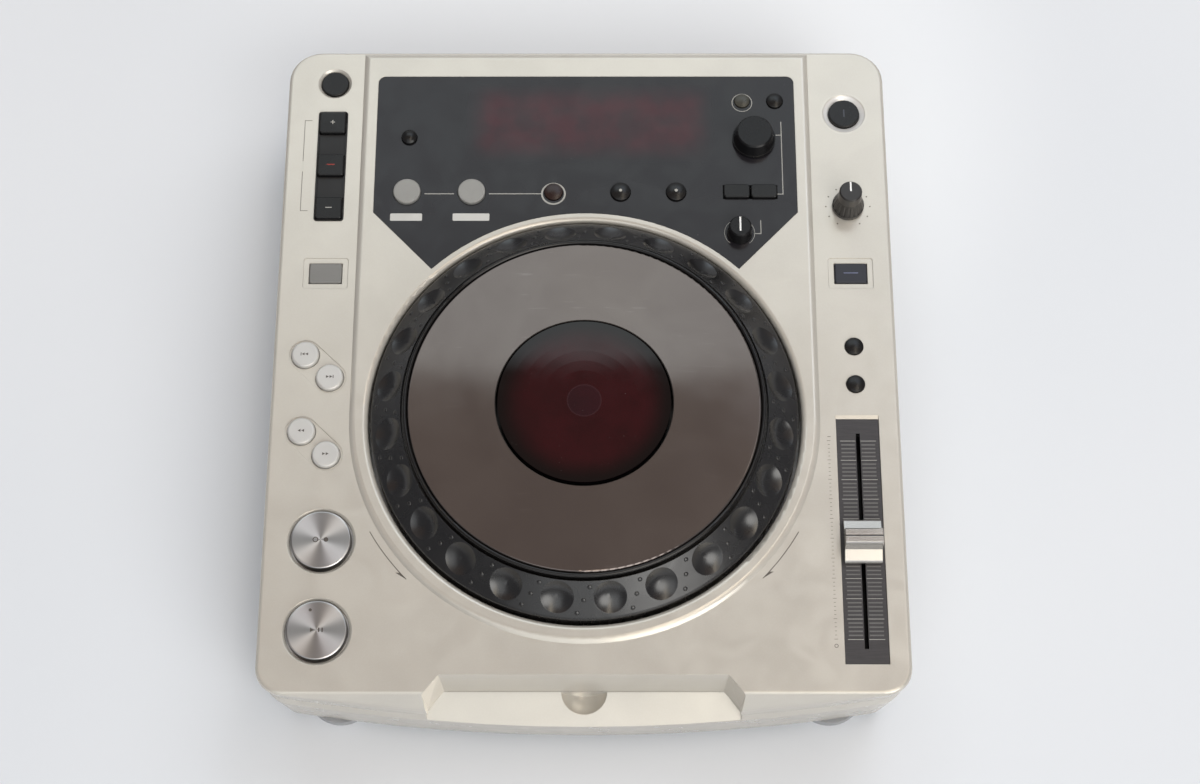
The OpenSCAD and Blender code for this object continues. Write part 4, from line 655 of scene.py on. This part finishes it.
def play_sign(dark):
    """A small triangle and two bars, and a dot near the button's back edge."""
    x, y, z = spot("play_button")
    ink = Ink("play_sign", "play_button", dark, "black_plastic")
    ink.arrow(x - 2.3, y, 1.3, z)
    for dx in (1.2, 2.9):
        ink.bar(x + dx, y, 0.7, 2.2, z)
    ink.disc(x - 3.4, y + 10.2, 0.8, z, 16)
    ink.make()


def cue_sign(dark):
    """Ring and disc side by side."""
    x, y, z = spot("cue_button")
    apart, radius, line, sides = 2.6, 1.2, 0.45, 20
    ink = Ink("cue_sign", "cue_button", dark, "black_plastic")
    ink.ring(x - apart, y, radius, line, z, sides)
    ink.disc(x + apart, y, radius, z, sides)
    ink.make()


def skip_signs(dark):
    """Double arrows on the four small silver buttons, with an end bar on the track buttons."""
    size, rear, front, end = 0.95, 1.1, 0.7, 2.0
    for node, sign, has_end in (("track_back_button", -1, True), ("track_next_button", 1, True),
                                ("search_back_button", -1, False), ("search_next_button", 1, False)):
        x, y, z = spot(node)
        turn = 0 if sign > 0 else 180
        ink = Ink(node.replace("button", "sign"), node, dark, "black_plastic")
        ink.arrow(x - sign * rear, y, size, z, turn)
        ink.arrow(x + sign * front, y, size, z, turn)
        if has_end:
            ink.bar(x + sign * end, y, 0.4, 1.7, z)
        ink.make()


def plus_sign(look):
    """A plus on the rearmost key of the strip."""
    x, y, z = spot("strip_key_a")
    span, line, lift = 2.4, 0.45, 0.005
    ink = Ink("strip_sign_a", "strip_key_a", look, "light_key")
    ink.bar(x, y, span, line, z)
    ink.bar(x, y, line, span, z + lift)
    ink.make()


def bar_sign(name, node, look, slot, width, length, corner=0.0):
    """A single bar in the middle of a key."""
    x, y, z = spot(node)
    ink = Ink(name, node, look, slot)
    ink.bar(x, y, width, length, z, corner)
    ink.make()


def dot_sign(node, look):
    """A dot in the middle of a button."""
    x, y, z = spot(node)
    ink = Ink(node.replace("button", "dot"), node, look, "light_key")
    ink.disc(x, y, 0.85, z, 16)
    ink.make()


def key_marks(light, red, blue, dim):
    plus_sign(light)
    bar_sign("strip_sign_b", "strip_key_b", red, "display", width=4.2, length=0.6)
    bar_sign("strip_sign_c", "strip_key_c", light, "light_key", width=3.4, length=0.5)
    for node in ("text_button", "time_button"):
        dot_sign(node, light)
    bar_sign("range_sign", "range_button", blue, "light_key", width=7.5, length=0.4)
    bar_sign("mode_sign", "mode_button", dim, "light_key", width=0.8, length=4.6, corner=0.3)


def fader_marks(light, grey):
    """Ticks on both sides of the fader's slot: broad grey ones, and every fifth thin and light."""
    x, y, z = spot("fader_plate")
    minor_x, minor_w, minor_l = 5.1, 7.0, 0.75
    major_x, major_w, major_l = 5.2, 7.8, 0.3
    minor = Ink("fader_minor", "case", grey, "light_key")
    major = Ink("fader_major", "case", light, "light_key")
    for i in TICKS:
        at = y + TICK_SHIFT + i * TICK_PITCH
        for side in (-1, 1):
            if i % LONG_TICK:
                minor.bar(x + side * minor_x, at, minor_w, minor_l, z)
            else:
                major.bar(x + side * major_x, at, major_w, major_l, z)
    minor.make()
    major.make()


def pointers(white):
    """White lines on the two knobs that have a scale."""
    width, sunk = 0.9, 0.02
    for name, node, behind, length in (("brake_pointer", "brake_knob", 2.7, 5.4),
                                       ("trim_pointer", "trim_knob", 1.1, 8.1)):
        x, y, z = spot(node)
        ink = Ink(name, node, white, "white_plastic")
        ink.bar(x, y + behind, width, length, z - sunk)
        ink.make()


def ink_look(name, colour, roughness=0.5):
    return moulded(name, colour, roughness, edge=0.05, wear=0)


def print_marks():
    light = ink_look("ink_light", (0.38, 0.37, 0.34))
    grey = ink_look("ink_grey", (0.13, 0.125, 0.12))
    bar_look = ink_look("ink_bar", (0.56, 0.55, 0.52))
    dark = ink_look("ink_dark", (0.09, 0.075, 0.065))
    red = ink_look("ink_red", (0.30, 0.03, 0.02))
    blue = ink_look("ink_blue", (0.20, 0.22, 0.34))
    dim = ink_look("ink_dim", (0.055, 0.06, 0.075))
    white = ink_look("ink_white", (0.85, 0.84, 0.82), 0.45)
    panel_marks(light, bar_look)
    deck_marks(dark)
    play_sign(dark)
    cue_sign(dark)
    skip_signs(dark)
    key_marks(light, red, blue, dim)
    fader_marks(light, grey)
    pointers(white)


# ---- Small raised parts ----

def make_nubs():
    """Three low domes on the ring between each pair of finger dimples."""
    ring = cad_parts["jog_ring"]
    x, y, top = spot("jog_ring")
    dimples, radius, height = 24, 1.2, 0.5
    rows = ((95.0, 1.8), (100.2, 0.0), (105.4, -1.8))  # radius, and shift round the wheel in degrees
    above, down = 10, Vector((0, 0, -1))
    mesh = bmesh.new()
    for i in range(dimples):
        for r, shift in rows:
            turn = math.radians(i * 360 / dimples + shift)
            start = Vector((x + r * math.cos(turn), y + r * math.sin(turn), top + above)) * MM
            hit, place, normal, _ = ring.ray_cast(start, down)
            if not hit:
                raise RuntimeError("no ring under a nub")
            upright = normal.to_track_quat("Z", "Y").to_matrix().to_4x4()
            squash = Matrix.Diagonal((radius * MM, radius * MM, height * MM, 1))
            bmesh.ops.create_uvsphere(mesh, u_segments=16, v_segments=8, radius=1,
                                      matrix=Matrix.Translation(place) @ upright @ squash)
    data = bpy.data.meshes.new("ring_nubs")
    for face in mesh.faces:
        face.smooth = True
    mesh.to_mesh(data)
    mesh.free()
    data.materials.append(ring.material_slots[0].material)
    nubs = bpy.data.objects.new("ring_nubs", data)
    bpy.context.scene.collection.objects.link(nubs)
    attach(nubs, "jog_wheel")


# ---- Stage, light and camera ----

def make_floor():
    """Plain pale floor, with painted light that makes it a little lighter behind the player, over the shadow
    that the lamps cast there.
    """
    pale_low, pale_high, painted_light_tint = (0.665, 0.685, 0.72), (0.69, 0.705, 0.735), (0.80, 0.82, 0.85)
    cloud_mm, half = 420, 6.0
    behind_at, behind_r, behind_full = (0, 0.24), 0.30, 0.12
    lift = 0.05  # light that only the camera sees on the floor
    look = Look("floor", (0.68, 0.69, 0.71), 0.85)
    pale = look.blend(look.patches(cloud_mm, 2), pale_low, pale_high)
    # painted light: a lighter patch of floor behind the player
    behind = look.span(look.around(behind_at)[2], behind_r, behind_full)
    look.give("Base Color", look.blend(behind, pale, painted_light_tint))
    look.set("Emission Color", (1.0, 1.0, 1.0, 1))
    look.give("Emission Strength", look.math("MULTIPLY", look.seen(), lift))
    corners = [(-half, -half, 0), (half, -half, 0), (half, half, 0), (-half, half, 0)]
    data = bpy.data.meshes.new("floor")
    data.from_pydata(corners, [], [(0, 1, 2, 3)])
    data.materials.append(look.material)
    floor = bpy.data.objects.new("floor", data)
    bpy.context.scene.collection.objects.link(floor)


def toward(turn, rise):
    """Direction from azimuth and elevation, in degrees."""
    turn, rise = math.radians(turn), math.radians(rise)
    return math.cos(rise) * math.cos(turn), math.cos(rise) * math.sin(turn), math.sin(rise)


def glow(room, way, turn, rise, inner, outer):
    """Soft round mask about one direction. Its angles are in degrees."""
    near = room.node("ShaderNodeVectorMath", operation="DOT_PRODUCT")
    room.feed(near.inputs[0], way)
    near.inputs[1].default_value = toward(turn, rise)
    return room.span(near.outputs["Value"], math.cos(math.radians(outer)), math.cos(math.radians(inner)))


def back_wall(room, x, z):
    """Bright wall behind the player, dark near the floor and bluer below the ceiling."""
    low, side, middle = (0.46, 0.46, 0.47), (1.11, 1.20, 1.22), (1.19, 1.28, 1.28)
    under_ceiling = (1.29, 1.43, 1.50)
    middle_x, side_from, middle_to = 0.01, 0.09, 0.02
    ceiling_z, plain_z = 0.86, 0.74
    dark_z, bright_z = 0.4, 0.7
    off_centre = room.math("ABSOLUTE", room.math("SUBTRACT", x, middle_x))
    plain = room.blend(room.span(off_centre, side_from, middle_to), side, middle)
    high = room.blend(room.span(z, ceiling_z, plain_z), plain, under_ceiling)
    return room.blend(room.span(z, dark_z, bright_z), low, high)


def front_wall(room, z):
    """Wall in front of the player, dark near the floor."""
    low, high = (0.30, 0.30, 0.30), (1.05, 1.08, 1.10)
    dark_z, bright_z = 0.1, 0.7
    return room.blend(room.span(z, dark_z, bright_z), low, high)


def ceiling_mask(room, slope, z):
    """The ceiling, from over the player's front to a straight edge with the back wall."""
    edge, soft = math.tan(math.radians(24.8)), 0.015
    front_out, front_in = -0.4, -0.15
    wall_z, ceiling_z = 0.5, 0.7
    behind = room.span(slope, edge + soft, edge - soft)
    before = room.span(slope, front_out, front_in)
    return room.both(behind, room.both(before, room.span(z, wall_z, ceiling_z)))


def strip_mask(room, x, up, slope, z):
    """A long strip of light overhead on the right, which bends outwards over the wheel."""
    bend_from, bend_to, bend_by = (0.08, 0.25), (0.8, 0.62), 0.1
    left_side, right_side, height = (0.1, 0.17), (0.36, 0.27), (0.55, 0.75)
    bend = room.both(room.span(slope, *bend_from), room.span(slope, *bend_to))
    across = room.math("SUBTRACT", room.math("DIVIDE", x, up), room.math("MULTIPLY", bend, bend_by))
    return room.both(room.span(across, *left_side), room.span(across, *right_side), room.span(z, *height))


def make_world():
    """A plain room for the gloss: bright walls, dark sides, warm ceiling, light strip and window.

    The camera sees a plain pale backdrop instead.
    """
    side_tint, ceiling_tint = (0.15, 0.15, 0.16), (0.25, 0.19, 0.16)
    strip_front, strip_back, window_tint = (3.0, 2.65, 2.15), (1.6, 1.8, 2.2), (3.2, 3.15, 3.05)
    backdrop = (0.72, 0.72, 0.735)
    front_y, back_y = -0.25, 0.2
    wall_x, side_x = 0.26, 0.52
    lowest = 0.2  # keeps directions near the horizon out of the divisions
    strip_front_to, strip_back_from = 0.1, 0.5
    world = bpy.data.worlds.new("studio")
    bpy.context.scene.world = world
    world.use_nodes = True
    room = Graph(world.node_tree)
    way = room.node("ShaderNodeTexCoord").outputs["Generated"]
    x, y, z = room.axes(way)
    up = room.math("MAXIMUM", z, lowest)
    slope = room.math("DIVIDE", y, up)
    walls = room.blend(room.span(y, front_y, back_y), front_wall(room, z), back_wall(room, x, z))
    sides = room.blend(room.span(room.math("ABSOLUTE", x), wall_x, side_x), walls, side_tint)
    ceiled = room.blend(ceiling_mask(room, slope, z), sides, ceiling_tint)
    strip_tint = room.blend(room.span(slope, strip_front_to, strip_back_from), strip_front, strip_back)
    striped = room.blend(strip_mask(room, x, up, slope, z), ceiled, strip_tint)
    window = glow(room, way, turn=-55, rise=38, inner=12, outer=24)
    lit = room.blend(window, striped, window_tint)
    back = world.node_tree.nodes["Background"]
    room.feed(back.inputs["Color"], room.blend(room.seen(), lit, backdrop))
    back.inputs["Strength"].default_value = 1.0


def soft_light(name, turn, rise, distance, size, power, colour=(1, 1, 1)):
    """Square light that faces the player. Gloss shows the room instead of it."""
    data = bpy.data.lights.new(name, "AREA")
    data.size = size
    data.energy = power
    data.color = colour
    lamp = bpy.data.objects.new(name, data)
    way = Vector(toward(turn, rise))
    lamp.location = way * distance
    lamp.rotation_mode = "QUATERNION"
    lamp.rotation_quaternion = (-way).to_track_quat("-Z", "Y")
    lamp.visible_glossy = False
    bpy.context.scene.collection.objects.link(lamp)


def make_lights():
    soft_light("key", turn=40, rise=55, distance=2.1, size=1.3, power=7.7)
    soft_light("front", turn=-75, rise=38, distance=2.0, size=1.6, power=9.6, colour=(0.90, 0.96, 1.0))
    soft_light("overhead", turn=70, rise=78, distance=2.2, size=2.2, power=6.9, colour=(0.98, 0.99, 1.0))


def make_camera():
    """The photograph's viewpoint: nearly overhead, from the front."""
    focal_px, image_px, sensor = 2365.55, 1200, 36.0
    place = Vector((11.24, -485.39, 1195.12)) * MM
    tilt, roll, yaw = (math.radians(a) for a in (22.7123, -0.38434, 0.42412))
    forward = Vector((-math.sin(yaw) * math.sin(tilt), math.cos(yaw) * math.sin(tilt), -math.cos(tilt)))
    level = Vector((math.cos(yaw), math.sin(yaw), 0))
    upright = level.cross(forward)
    right = math.cos(roll) * level + math.sin(roll) * upright
    up = math.cos(roll) * upright - math.sin(roll) * level
    data = bpy.data.cameras.new("camera")
    data.sensor_width = sensor
    data.lens = focal_px / image_px * sensor
    camera = bpy.data.objects.new("camera", data)
    camera.matrix_world = Matrix.Translation(place) @ Matrix((right, up, -forward)).transposed().to_4x4()
    bpy.context.scene.collection.objects.link(camera)
    bpy.context.scene.camera = camera


bpy.context.scene.view_settings.view_transform = "Standard"
make_camera()
make_floor()
make_world()
make_lights()
dress_nodes(make_looks())
print_marks()
make_nubs()
